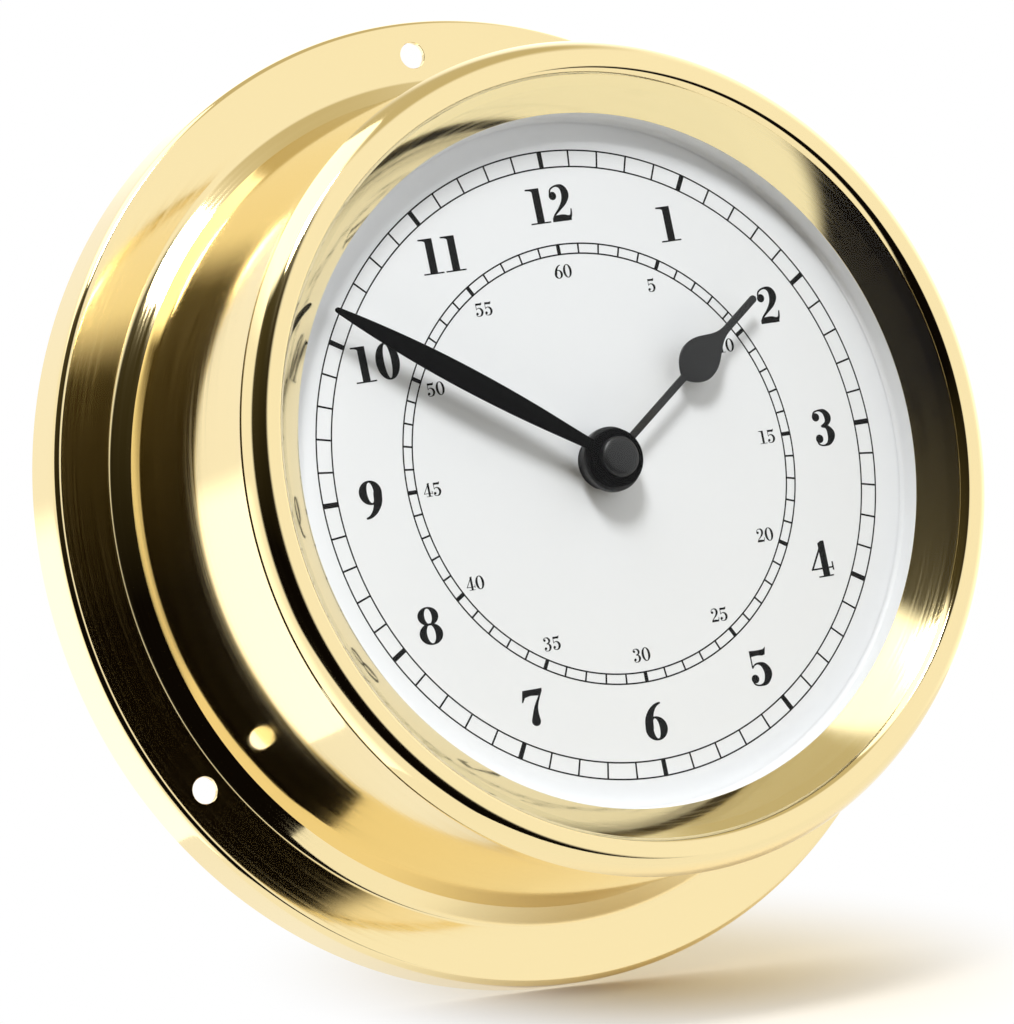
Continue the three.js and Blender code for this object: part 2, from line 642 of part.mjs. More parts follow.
function hourOutline() {
  const stem = HOUR_STEM_WIDTH / 2;
  const belly = HOUR_PEAR_WIDTH / 2;
  const shoulder = HOUR_PEAR_WIDEST - HOUR_PEAR_START;
  const taper = HOUR_PEAR_END - HOUR_PEAR_WIDEST;
  const side = new THREE.Path();
  side.moveTo(stem, HOUR_BOSS_RADIUS - 1);
  side.lineTo(stem, HOUR_PEAR_START - stem);
  side.bezierCurveTo(
    0.7 * belly, HOUR_PEAR_START + 0.1 * shoulder, belly, HOUR_PEAR_WIDEST - 0.45 * shoulder,
    belly, HOUR_PEAR_WIDEST,
  );
  side.bezierCurveTo(
    belly, HOUR_PEAR_WIDEST + 0.45 * taper, stem, HOUR_PEAR_WIDEST + 0.55 * taper,
    stem, HOUR_PEAR_END,
  );
  side.lineTo(stem, HOUR_LENGTH - stem);
  side.quadraticCurveTo(stem, HOUR_LENGTH, 0, HOUR_LENGTH);
  return mirrored(side.getPoints(HAND_STEPS));
}

function hand(outline, bossRadius, bore, bossBack, angle) {
  const blade = bossBack + (HAND_BOSS_HEIGHT - HAND_THICKNESS) / 2;
  const rim = circle(bossRadius, 2 * SMALL_FACETS);
  const boss = prism(rim, bossBack, bossBack + HAND_BOSS_HEIGHT, [circle(bore)]);
  return join(prism(outline, blade, blade + HAND_THICKNESS), boss).rotateZ(-radians(angle));
}

function buildHands() {
  const hourBore = hourTubeOuter + SEAT_GAP;
  const minuteBore = MINUTE_ARBOR_RADIUS + SEAT_GAP;
  const hourHand = hand(hourOutline(), HOUR_BOSS_RADIUS, hourBore, hourBossBack, HOUR_ANGLE);
  const minuteHand = hand(minuteOutline(), MINUTE_BOSS_RADIUS, minuteBore, minuteBossBack, MINUTE_ANGLE);
  add('hour_hand', hourHand, 'handBlack');
  add('minute_hand', minuteHand, 'handBlack');
  const dome = new THREE.Path();
  dome.moveTo(CAP_RADIUS, capBack + 0.3 * CAP_HEIGHT);
  dome.quadraticCurveTo(0.85 * CAP_RADIUS, capBack + CAP_HEIGHT, 0, capBack + CAP_HEIGHT);
  const socketTop = capBack + CAP_HEIGHT / 2;
  add('hand_cap', turned([
    [0, socketTop],
    [minuteBore, socketTop],
    [minuteBore, capBack],
    [CAP_RADIUS, capBack],
    ...dome.getPoints(CURVE_STEPS).map(({ x, y }) => [x, y]),
  ], SMALL_FACETS), 'handBlack');
}

// Movement housing.

const pivotBore = PIVOT_RADIUS + PIVOT_GAP;
const stemBore = STEM_RADIUS + RUN_GAP;

function buildPlate() {
  const ears = studAt.map(({ x, y }) => (
    prism(circle(EAR_RADIUS, SMALL_FACETS, x, y), plateBack, plateFront)
  ));
  const bridges = studAt.map(({ x, y }) => block(
    [Math.min(x, 0), y - EAR_RADIUS, plateBack], [Math.max(x, 0), y + EAR_RADIUS, plateFront],
  ));
  const bush = prism(circle(bushOuter), plateBack, plateFront + BUSH_LENGTH);
  const stubBack = motionLayer - 4 * SEAT_GAP;
  const stub = prism(circle(STUB_RADIUS, SMALL_FACETS, motionAt.x, motionAt.y), stubBack, plateFront);
  const body = block([-coverHalfWidth, coverBottom, plateBack], [coverHalfWidth, coverTop, plateFront]);
  const drill = (radius, { x, y }, facets = SMALL_FACETS) => prism(
    circle(radius, facets, x, y), plateBack - 1, plateFront + BUSH_LENGTH + 1,
  );
  const drills = [
    drill(bushInner, centreAt),
    ...trainPivots.map((place) => drill(pivotBore, place, PIVOT_FACETS)),
    ...studAt.map((place) => drill(STUD_RADIUS + RUN_GAP, place)),
  ];
  const plate = join(body, ...bridges, ...ears, bush, stub);
  add('movement_front_plate', cut(plate, ...drills), 'housingBlack');
}

function buildCover() {
  const inner = coverHalfWidth - COVER_WALL;
  const body = block([-coverHalfWidth, coverBottom, coverBack], [coverHalfWidth, coverTop, coverFront]);
  const trainRoom = block(
    [-inner, -TRAIN_FLOOR, coverInside], [inner, coverTop - COVER_WALL, coverFront + 1],
  );
  const batteryBay = block(
    [-inner, coverBottom + COVER_WALL, coverBack - 1], [inner, batteryBayTop, coverFront + 1],
  );
  const drill = (radius, { x, y }, facets = SMALL_FACETS) => prism(
    circle(radius, facets, x, y), coverBack - 1, coverInside + 1,
  );
  const rearPivots = [centreAt, thirdAt, secondsAt, intermediateAt, rotorAt];
  const drills = [
    drill(stemBore, settingAt),
    ...rearPivots.map((place) => drill(pivotBore, place, PIVOT_FACETS)),
  ];
  add('movement_cover', cut(body, trainRoom, batteryBay, ...drills), 'housingBlack');
}

function buildStuds() {
  const sides = ['left', 'right'];
  studAt.forEach(({ x, y }, i) => {
    const nutFront = plateBack - SEAT_GAP;
    const nutBack = nutFront - NUT_HEIGHT;
    const stud = prism(circle(STUD_RADIUS), nutBack - STUD_TAIL, dialBack - SEAT_GAP / 2);
    add(`dial_stud_${sides[i]}`, stud.translate(x, y, 0), 'bareBrass');
    const nut = prism(circle(NUT_RADIUS, 6), nutBack, nutFront, [circle(STUD_RADIUS + SEAT_GAP)]);
    add(`stud_nut_${sides[i]}`, nut.translate(x, y, 0), 'steel');
  });
}

// Going train, motion work and hand setting.

/** Shaft with a pivot at each end, from the cover to the plate. */
function arbor(radius) {
  const ends = [coverBack + COVER_WALL / 3, plateFront - PLATE_THICKNESS / 3];
  const pivot = prism(circle(PIVOT_RADIUS, PIVOT_FACETS), ...ends);
  return join(pivot, prism(circle(radius, PIVOT_FACETS), coverInside + SEAT_GAP, plateBack - SEAT_GAP));
}

/** Wheel disc in its layer. */
function wheel(gear, phase, layer, thickness = WHEEL_THICKNESS) {
  return prism(teeth(gear, phase), layer, layer + thickness);
}

/** Pinion a little longer than the wheel that it meshes with. */
function pinion(gear, phase, layer, thickness = WHEEL_THICKNESS) {
  return prism(teeth(gear, phase), layer - PINION_OVERHANG, layer + thickness + PINION_OVERHANG);
}

const trainArborRadius = PIVOT_RADIUS + PIVOT_GAP / 2;

function buildTrain() {
  const rotor = arborGroup(rotorAt);
  const magnetBack = centreLayer - PINION_OVERHANG;
  const magnetBore = trainArborRadius + SEAT_GAP;
  const rotorPinion = join(pinion(ROTOR_PINION, 0, intermediateLayer), arbor(trainArborRadius));
  add('rotor_pinion', rotorPinion, 'gearWhite', rotor);
  add('rotor_magnet', prism(
    circle(MAGNET_RADIUS), magnetBack, magnetBack + MAGNET_HEIGHT, [circle(magnetBore)],
  ), 'magnet', rotor);
  add('intermediate_wheel', join(
    wheel(INTERMEDIATE_WHEEL, intermediateWheelPhase, intermediateLayer),
    pinion(INTERMEDIATE_PINION, 0, secondsLayer),
    arbor(trainArborRadius),
  ), 'gearWhite', arborGroup(intermediateAt));
  add('seconds_wheel', join(
    wheel(SECONDS_WHEEL, secondsWheelPhase, secondsLayer),
    pinion(SECONDS_PINION, 0, thirdLayer),
    arbor(trainArborRadius),
  ), 'gearWhite', arborGroup(secondsAt));
  add('third_wheel', join(
    wheel(THIRD_WHEEL, thirdWheelPhase, thirdLayer),
    pinion(THIRD_PINION, 0, centreLayer),
    arbor(trainArborRadius),
  ), 'gearWhite', arborGroup(thirdAt));
  add('centre_wheel', prism(
    teeth(CENTRE_WHEEL, centreWheelPhase), centreLayer, centreLayer + WHEEL_THICKNESS,
    [circle(MINUTE_TAIL_RADIUS + RUN_GAP)],
  ), 'gearWhite');
}

function buildMotionWork() {
  const cannonBack = motionLayer - SEAT_GAP;
  const tail = prism(circle(MINUTE_TAIL_RADIUS), coverInside + SEAT_GAP, cannonBack + MOTION_THICKNESS);
  const pivot = prism(circle(PIVOT_RADIUS, PIVOT_FACETS), coverBack + COVER_WALL / 3, coverInside + 1);
  const collarFront = centreLayer - SEAT_GAP;
  const collar = prism(circle(COLLAR_RADIUS), collarFront - COLLAR_LENGTH, collarFront);
  const cannon = pinion(CANNON_PINION, 0, motionLayer, MOTION_THICKNESS);
  const shaft = prism(circle(MINUTE_ARBOR_RADIUS), cannonBack, capBack + CAP_HEIGHT / 3);
  add('minute_arbor', join(pivot, tail, collar, cannon, shaft), 'bareBrass');
  const washerBack = centreLayer + WHEEL_THICKNESS + SEAT_GAP / 2;
  add('clutch_washer', prism(
    circle(WASHER_RADIUS), washerBack, washerBack + WASHER_THICKNESS,
    [circle(MINUTE_TAIL_RADIUS + SEAT_GAP)],
  ), 'steel');
  const stubBore = circle(STUB_RADIUS + RUN_GAP);
  const motionWheel = prism(
    teeth(MOTION_WHEEL, motionWheelPhase), motionLayer, motionLayer + MOTION_THICKNESS, [stubBore],
  );
  const motionPinion = prism(
    teeth(MOTION_PINION, 0), motionLayer + MOTION_THICKNESS / 2,
    hourLayer + MOTION_THICKNESS + PINION_OVERHANG, [stubBore],
  );
  add('motion_wheel', join(motionWheel, motionPinion), 'gearWhite', arborGroup(motionAt));
  const hourDisc = prism(
    teeth(HOUR_WHEEL, hourWheelPhase), hourLayer, hourLayer + MOTION_THICKNESS, [circle(hourTubeInner)],
  );
  const hourTube = prism(
    circle(hourTubeOuter), hourLayer, hourBossBack + HAND_BOSS_HEIGHT - SEAT_GAP,
    [circle(hourTubeInner)],
  );
  add('hour_wheel', join(hourDisc, hourTube), 'gearWhite');
}

function buildSetting() {
  const group = arborGroup(settingAt);
  const pivot = prism(circle(PIVOT_RADIUS, PIVOT_FACETS), plateBack - 1, plateFront - PLATE_THICKNESS / 3);
  const stem = prism(circle(STEM_RADIUS), stemBack, plateBack - SEAT_GAP);
  const gear = pinion(SETTING_PINION, settingPhase, motionLayer, MOTION_THICKNESS);
  add('setting_stem', join(pivot, stem, gear), 'gearWhite', group);
  const knobFront = coverBack - KNOB_STANDOFF;
  const knobBack = knobFront - KNOB_HEIGHT;
  const grip = Array.from({ length: KNOB_FLUTES }, (_, i) => [0, 0.5].map((share) => polar(
    centreAt, KNOB_RADIUS - 2 * share * KNOB_FLUTE_DEPTH, (360 * (i + share)) / KNOB_FLUTES,
  ))).flat();
  const socket = prism(circle(STEM_RADIUS + SEAT_GAP), knobBack + KNOB_WEB, knobFront + 1);
  add('setting_knob', cut(prism(grip, knobBack, knobFront), socket), 'knobGrey', group);
}

// Drive and power.

function buildDrive() {
  const hole = MAGNET_RADIUS + MAGNET_GAP;
  const pole = hole + STATOR_POLE_WALL;
  const back = centreLayer + WHEEL_THICKNESS - SEAT_GAP;
  const bottom = rotorAt.y - STATOR_DROP;
  const coilRight = coilLeft + COIL_LENGTH;
  const right = coilRight + COIL_END_ROOM + STATOR_LIMB;
  const limbTop = coilAxis + STATOR_LIMB / 2;
  const limbBottom = coilAxis - STATOR_LIMB / 2;
  const yoke = [
    [rotorAt.x - pole, bottom], [right, bottom], [right, limbTop],
    [rotorAt.x + pole, limbTop], [rotorAt.x + pole, rotorAt.y + pole],
    [rotorAt.x - pole, rotorAt.y + pole],
  ].map(([x, y]) => new THREE.Vector2(x, y));
  const window = rectangle(rotorAt.x + pole, bottom + STATOR_LIMB / 2, right - STATOR_LIMB, limbBottom);
  const rotorHole = circle(hole, SMALL_FACETS, rotorAt.x, rotorAt.y);
  add('stator', prism(yoke, back, back + STATOR_THICKNESS, [window, rotorHole]), 'steel');

  const middle = back + STATOR_THICKNESS / 2;
  const sleeve = (left, end, width, height) => block(
    [left, coilAxis - width / 2, middle - height / 2], [end, coilAxis + width / 2, middle + height / 2],
  );
  const slotWidth = STATOR_LIMB + 2 * SEAT_GAP;
  const slotHeight = STATOR_THICKNESS + 2 * SEAT_GAP;
  const coreWidth = slotWidth + 2 * COIL_CORE_WALL;
  const coreHeight = slotHeight + 2 * COIL_CORE_WALL;
  const slot = sleeve(coilLeft - 1, coilRight + 1, slotWidth, slotHeight);
  add('coil_bobbin', cut(join(
    sleeve(coilLeft, coilRight, coreWidth, coreHeight),
    sleeve(coilLeft, coilLeft + COIL_FLANGE, COIL_SIZE, COIL_SIZE),
    sleeve(coilRight - COIL_FLANGE, coilRight, COIL_SIZE, COIL_SIZE),
  ), slot), 'gearWhite');
  const wireLeft = coilLeft + COIL_FLANGE + SEAT_GAP;
  const wireRight = coilRight - COIL_FLANGE - SEAT_GAP;
  const wireSize = COIL_SIZE - 2 * COIL_FLANGE_RIM;
  const wireHole = sleeve(
    wireLeft - 1, wireRight + 1, coreWidth + 2 * SEAT_GAP, coreHeight + 2 * SEAT_GAP,
  );
  add('coil_winding', cut(sleeve(wireLeft, wireRight, wireSize, wireSize), wireHole), 'copper');
}

function buildBoard() {
  const right = coverHalfWidth - COVER_WALL - SIDE_GAP;
  const bottom = -TRAIN_FLOOR + 3 * SIDE_GAP;
  const left = right - BOARD_WIDTH;
  const back = coverInside + SIDE_GAP;
  const front = back + BOARD_THICKNESS;
  add('circuit_board', block([left, bottom, back], [right, bottom + BOARD_LENGTH, front]), 'board');
  const canLift = front + SEAT_GAP + CRYSTAL_RADIUS;
  const can = new THREE.CylinderGeometry(CRYSTAL_RADIUS, CRYSTAL_RADIUS, CRYSTAL_LENGTH, SMALL_FACETS);
  const middle = (left + right) / 2;
  add('quartz_crystal', can.translate(middle, bottom + BOARD_LENGTH / 3, canLift), 'steel');
  const chipBottom = bottom + (2 * BOARD_LENGTH) / 3;
  add('controller_chip', block(
    [middle - CHIP_SIZE / 2, chipBottom, front + SEAT_GAP],
    [middle + CHIP_SIZE / 2, chipBottom + CHIP_SIZE, front + SEAT_GAP + CHIP_HEIGHT],
  ), 'housingBlack');
}

function buildBattery() {
  const half = BATTERY_LENGTH / 2;
  const canEnd = half - BATTERY_NUB_LENGTH;
  const can = prism(circle(BATTERY_RADIUS, 2 * SMALL_FACETS), -half, canEnd);
  const nub = prism(circle(BATTERY_NUB_RADIUS), canEnd - 1, half);
  const cell = join(can, nub).rotateY(Math.PI / 2);
  add('battery_cell', cell.translate(0, batteryDrop, batteryHeight), 'battery');
  const bayTop = plateBack - SIDE_GAP;
  const contactBack = coverBack + 2 * SIDE_GAP;
  const ends = { positive: 1, negative: -1 };
  Object.entries(ends).forEach(([name, side]) => {
    const near = side * (half + SIDE_GAP);
    const far = near + side * CONTACT_THICKNESS;
    add(`battery_contact_${name}`, block(
      [Math.min(near, far), batteryDrop - CONTACT_WIDTH / 2, contactBack],
      [Math.max(near, far), batteryDrop + CONTACT_WIDTH / 2, bayTop],
    ), 'steel');
  });
}

buildCase();
buildBezel();
buildGlass();
buildFunnel();
buildDial();
buildClamp();
buildHands();
buildPlate();
buildCover();
buildStuds();
buildTrain();
buildMotionWork();
buildSetting();
buildDrive();
buildBoard();
buildBattery();

export default clock;
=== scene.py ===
"""Looks of a polished brass ship's clock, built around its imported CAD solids.

Shapes are worked out in the clock's own frame in millimetres: x to three o'clock, y to twelve, z out of
the wall. placed() turns that into the part's frame in metres, with +Z up and -Y out of the dial. Angles
on the dial run clockwise from twelve.
"""

import json
import math

import bmesh
import bpy
import numpy as np
from mathutils import Matrix, Vector
from mathutils.geometry import delaunay_2d_cdt


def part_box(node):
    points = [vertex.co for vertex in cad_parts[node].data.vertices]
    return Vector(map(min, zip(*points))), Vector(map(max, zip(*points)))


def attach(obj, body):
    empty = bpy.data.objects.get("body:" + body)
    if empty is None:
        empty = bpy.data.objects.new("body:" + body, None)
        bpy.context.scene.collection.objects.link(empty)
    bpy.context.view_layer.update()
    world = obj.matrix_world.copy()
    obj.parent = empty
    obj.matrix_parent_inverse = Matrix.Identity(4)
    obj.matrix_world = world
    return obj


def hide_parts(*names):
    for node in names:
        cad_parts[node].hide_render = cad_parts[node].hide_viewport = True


bl_info = {
    "name": "Ship's Clock",
    "version": (1, 0, 0),
    "blender": (4, 5, 0),
    "location": "3D View > Sidebar > Clock",
    "description": "Builds the looks of a polished brass ship's clock around its CAD solids",
    "category": "Object",
}

MM = 1000.0  # millimetres in a metre
TAU = 2 * math.pi

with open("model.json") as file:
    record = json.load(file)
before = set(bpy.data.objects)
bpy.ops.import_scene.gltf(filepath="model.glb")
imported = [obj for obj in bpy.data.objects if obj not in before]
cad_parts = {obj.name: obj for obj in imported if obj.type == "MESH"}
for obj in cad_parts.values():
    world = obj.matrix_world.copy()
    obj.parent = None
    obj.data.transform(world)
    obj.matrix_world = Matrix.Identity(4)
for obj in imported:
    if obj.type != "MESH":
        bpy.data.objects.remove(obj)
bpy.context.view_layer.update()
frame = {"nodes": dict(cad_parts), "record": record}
SLOTS = {subpart["node"]: subpart["material_slot"] for subpart in frame["record"]["subparts"]}


def depths(node):
    """Back and front of a CAD node, in millimetres out of the wall."""
    low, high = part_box(node)
    return -high.y * MM, -low.y * MM


def reach(node):
    """How far a CAD node reaches sideways from the axis, in millimetres."""
    low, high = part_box(node)
    return max(high.x, high.z) * MM


def bore_radius(node):
    """Radius of a CAD node's round middle hole, in millimetres."""
    points = np.array([vertex.co for vertex in frame["nodes"][node].data.vertices])
    return np.min(np.hypot(points[:, 0], points[:, 2])) * MM


FLANGE_RADIUS = reach("case_shell")
MOUTH_HEIGHT = depths("case_shell")[1]
BEZEL_RADIUS = reach("bezel_ring")
CREST_HEIGHT = depths("bezel_ring")[1]
SKIRT_BACK = depths("bezel_ring")[0]
FUNNEL_FOOT, FUNNEL_TOP = depths("funnel_ring")
GLASS_BACK, GLASS_FRONT = depths("glass")
SPACER_FOOT, SPACER_TOP = depths("dial_spacer")
DIAL_BACK, DIAL_FRONT = depths("dial_plate")
DIAL_RADIUS = reach("dial_plate")
HOUR_BACK, HOUR_FRONT = depths("hour_hand")
MINUTE_BACK, MINUTE_FRONT = depths("minute_hand")
CAP_BACK, CAP_FRONT = depths("hand_cap")
CAP_RADIUS = reach("hand_cap")

COLUMNS = 480  # faces round a large turned piece
SMALL_COLUMNS = 96  # faces round a small one
WELD = 2e-7  # metres between points that are one
SAME_POINT = 1e-6  # millimetres between points of an outline that are one
FLAT_EPSILON = 1e-9  # millimetres from an edge within which a point lies on it, in a flat net
BROKEN_EDGE = 0.05  # millimetres taken off a plain edge
CLEARANCE = 0.1  # millimetres between the front ring and what it meets


def length(name, description, millimetres):
    """A length property whose default is given in millimetres."""
    return bpy.props.FloatProperty(
        name=name,
        description=description,
        default=millimetres / MM,
        min=0.0,
        unit="LENGTH",
        precision=5,
    )


def linear(text):
    """Linear colour of an sRGB hex value."""
    value = np.array([int(text[i : i + 2], 16) for i in (1, 3, 5)]) / 255
    value = np.where(value <= 0.04045, value / 12.92, ((value + 0.055) / 1.055) ** 2.4)
    return (*value.tolist(), 1.0)


def colour(name, description, text):
    """A colour property whose default is an sRGB hex value."""
    return bpy.props.FloatVectorProperty(
        name=name,
        description=description,
        default=linear(text),
        size=4,
        min=0.0,
        max=1.0,
        subtype="COLOR",
    )


class CaseSizes(bpy.types.PropertyGroup):
    """Sizes of the spun case."""

    sheet: length("Sheet", "Thickness of the spun brass", 0.8)
    flange_height: length("Flange height", "From the wall to the flange's face", 8.1)
    rim_draft: length("Rim draft", "How much the rim narrows towards the wall", 0.1)
    rim_round_width: length("Rim rounding width", "Width of the rounding at the rim", 1.1)
    rim_round_height: length("Rim rounding height", "Height of the rounding at the rim", 1.1)
    face_width: length("Face width", "Width of the flange's flat face", 7.7)
    bevel_width: length("Bevel width", "Width of the bevel inside the face", 2.7)
    bevel_height: length("Bevel height", "Height of the bevel", 1.5)
    taper_width: length("Taper width", "How much the barrel narrows to its waist", 1.15)
    taper_length: length("Taper length", "From the bevel forwards to the waist", 32.7)
    flare_width: length("Flare width", "From the waist out to the mouth", 0.45)
    hole_radius: length("Screw hole radius", "Radius of the holes for wall screws", 2.0)
    hole_inset: length("Screw hole inset", "From the face's inner edge to a hole's centre", 3.55)
    hole_edge: length("Screw hole edge", "Broken edge round a hole", 0.06)


class BezelSizes(bpy.types.PropertyGroup):
    """Sizes of the front ring and the sloping ring inside it."""

    sight_radius: length("Sight radius", "Inner edge of the sloping ring", 51.2)
    funnel_wall: length("Funnel wall", "Wall of the sloping ring, square to the axis", 0.8)
    lip_overlap: length("Lip overlap", "How far the roll reaches over the glass", 0.23)
    crest_offset: length("Crest offset", "From the roll's inner edge out to its crest", 1.35)
    roll_width: length("Roll width", "Width of the rolled front", 5.15)
    roll_edge: length("Roll edge", "Upright edge under the roll", 0.35)
    skirt_wall: length("Skirt wall", "Wall of the skirt in the case", 1.2)
    skirt_fillet: length("Skirt fillet", "Slope that centres the ring in the case's mouth", 4.3)


class DialSizes(bpy.types.PropertyGroup):
    """Sizes of the dial's print."""

    minute_track: length("Minute track", "Outer radius of the minute track", 46.5)
    minute_track_width: length("Minute track width", "Between the minute track's circles", 2.44)
    second_track: length("Second track", "Outer radius of the inner track", 32.6)
    second_track_width: length("Second track width", "Between the inner track's circles", 1.48)
    circle_line: length("Circle line", "Line width of the circles", 0.22)
    tick_line: length("Tick line", "Line width of a plain tick", 0.27)
    hour_tick_line: length("Hour tick line", "Line width of the tick at an hour", 0.75)
    five_tick_line: length("Five tick line", "Line width of the inner tick at each five", 0.6)
    hour_circle: length("Hour circle", "Radius to the middle of an hour number", 38.6)
    hour_height: length("Hour height", "Height of an hour number", 5.3)
    minute_circle: length("Minute circle", "Radius to the middle of a small number", 28.6)
    minute_height: length("Minute height", "Height of a small number", 1.95)


class HandSizes(bpy.types.PropertyGroup):
    """Sizes and places of the hands."""

    minute_length: length("Minute hand", "Length of the minute hand", 48.8)
    minute_belly_at: length("Minute belly place", "From the centre to the widest place", 26.0)
    minute_belly: length("Minute belly", "Width at the widest place", 3.5)
    minute_root: length("Minute root", "Width at the hub", 1.6)
    minute_tip: length("Minute tip", "Width at the tip", 0.8)
    minute_boss: length("Minute boss", "Radius of the minute hand's boss", 4.3)
    hour_length: length("Hour hand", "Length of the hour hand", 36.1)
    hour_stem: length("Hour stem", "Width of the hour hand's stem", 1.15)
    hour_pear_start: length("Pear start", "From the centre to the pear's inner end", 18.6)
    hour_pear_end: length("Pear end", "From the centre to the pear's outer end", 29.1)
    hour_pear_widest: length("Pear place", "From the centre to the pear's widest place", 21.8)
    hour_pear: length("Pear width", "Width of the pear", 6.3)
    hour_boss: length("Hour boss", "Radius of the hour hand's boss", 4.8)
    thickness: length("Hand thickness", "Thickness of the hands' sheet", 0.4)
    edge: length("Hand edge", "Rounding of the stamped edges", 0.09)
    minute_angle: bpy.props.FloatProperty(
        name="Minute angle",
        description="Rest angle of the minute hand, clockwise from twelve",
        default=math.radians(304.0),
        subtype="ANGLE",
    )
    hour_angle: bpy.props.FloatProperty(
        name="Hour angle",
        description="Rest angle of the hour hand, clockwise from twelve",
        default=math.radians(55.33),
        subtype="ANGLE",
    )


class ClockColours(bpy.types.PropertyGroup):
    """Colours of the finishes."""

    brass: colour("Brass", "Buffed brass, seen in white light", "#F8E4AE")
    bare_brass: colour("Bare brass", "Turned brass of the small fittings", "#E3CB86")
    steel: colour("Steel", "Zinc-plated steel", "#C9CCD1")
    dial: colour("Dial", "Satin white lacquer", "#F3F4F7")
    spacer: colour("Spacer", "White moulded ring", "#EDEEF1")
    ink: colour("Ink", "Black dial print", "#0B0B0C")
    hands: colour("Hands", "Satin black lacquer", "#0F0F11")
    # The minute hand's deeper black is painted shade: the real hand wears the hour hand's lacquer, which
    # mirrors the dark side of the room.
    minute_hand: colour("Minute hand", "Deep black lacquer of the minute hand", "#060607")
    housing: colour("Housing", "Black moulded plastic", "#1C1C1E")
    gears: colour("Gears", "Natural acetal", "#E9E8E1")
    knob: colour("Knob", "Grey moulded plastic", "#6C6F74")
    magnet: colour("Magnet", "Sintered magnet", "#45464A")
    copper: colour("Copper", "Enamelled copper wire", "#C4683A")
    board: colour("Board", "Green solder mask", "#1F6A45")
    battery: colour("Battery", "Skin of the battery cell", "#2B3A55")


class StudioSettings(bpy.types.PropertyGroup):
    """Light and floor."""

    room: bpy.props.FloatProperty(
        name="Room",
        description="Brightness of the white room",
        default=1.02,
        min=0.0,
    )
    lamp: bpy.props.FloatProperty(
        name="Lamp",
        description="Power of the lamp",
        default=5.6,
        min=0.0,
        unit="POWER",
    )
    # The floor's warm tint is painted light: it stands in for the gold glow that the brass throws on the
    # floor round the foot.
    floor: colour("Floor", "Pale floor", "#F4EAD4")
    floor_radius: length("Floor radius", "Radius of the floor", 138.0)


def placed(points):
    """Clock frame in millimetres to the part's frame in metres: (x, y, z) goes to (x, -z, y) / 1000."""
    x, y, z = np.moveaxis(np.asarray(points, float), -1, 0)
    return np.stack([x, -z, y], axis=-1) / MM


def bezier(points, steps=20):
    """Cubic curve: four points, each weighted by its Bernstein polynomial at even parameters."""
    t = np.linspace(0, 1, steps + 1)[:, None]
    a, b, c, d = np.asarray(points, float)
    return a * (1 - t) ** 3 + 3 * b * t * (1 - t) ** 2 + 3 * c * t**2 * (1 - t) + d * t**3


def rounded(corners, radii, steps=4):
    """Closed outline with soft corners: each is cut back both ways and joined by a quadratic curve."""
    corner = np.asarray(corners, float)
    back = np.roll(corner, 1, axis=0) - corner
    ahead = np.roll(corner, -1, axis=0) - corner
    cut = np.asarray(radii, float)[:, None]
    start = corner + back / np.linalg.norm(back, axis=1, keepdims=True) * cut
    end = corner + ahead / np.linalg.norm(ahead, axis=1, keepdims=True) * cut
    t = np.linspace(0, 1, steps + 1)[None, :, None]
    curve = (
        start[:, None] * (1 - t) ** 2
        + 2 * corner[:, None] * t * (1 - t)
        + end[:, None] * t**2
    ).reshape(-1, 2)
    return curve[np.linalg.norm(curve - np.roll(curve, 1, axis=0), axis=1) > SAME_POINT]


def offset_inwards(points, distance):
    """Line beside an open line, to its left as it runs: each point moves along the mean of its two edge
    normals, by the distance over the cosine of half the turn."""
    edges = np.diff(points, axis=0)
    normals = np.stack([-edges[:, 1], edges[:, 0]], axis=1)
    normals /= np.linalg.norm(normals, axis=1, keepdims=True)
    before = np.vstack([normals[:1], normals])
    after = np.vstack([normals, normals[-1:]])
    mean = before + after
    mean /= np.linalg.norm(mean, axis=1, keepdims=True)
    return points + mean * distance / np.sum(mean * before, axis=1, keepdims=True)


def grid_faces(rows, columns, wrap_rows=True, wrap_columns=True):
    """Four-sided faces between neighbouring points of a grid, closed round its columns or rows."""
    row = np.arange(rows if wrap_rows else rows - 1)[:, None]
    column = np.arange(columns if wrap_columns else columns - 1)[None, :]
    below = (row + 1) % rows
    beside = (column + 1) % columns
    corners = [
        row * columns + column,
        row * columns + beside,
        below * columns + beside,
        below * columns + column,
    ]
    return np.stack(np.broadcast_arrays(*corners), axis=-1).reshape(-1, 4)


def turned(profile, columns=COLUMNS, closed=True, centre=(0.0, 0.0)):
    """Surface of revolution: a profile point (r, z) at angle a goes to (r sin a, r cos a, z)."""
    radius, height = np.asarray(profile, float).T
    angle = np.arange(columns) * TAU / columns
    x = np.outer(radius, np.sin(angle)) + centre[0]
    y = np.outer(radius, np.cos(angle)) + centre[1]
    z = np.repeat(height[:, None], columns, axis=1)
    points = np.stack([x, y, z], axis=-1).reshape(-1, 3)
    return points, grid_faces(len(radius), columns, wrap_rows=closed)


def circle(radius, columns, centre=(0.0, 0.0)):
    """Points round a circle, clockwise from twelve, at the same angles as turned() uses."""
    angle = np.arange(columns) * TAU / columns
    return np.stack([centre[0] + radius * np.sin(angle), centre[1] + radius * np.cos(angle)], axis=1)


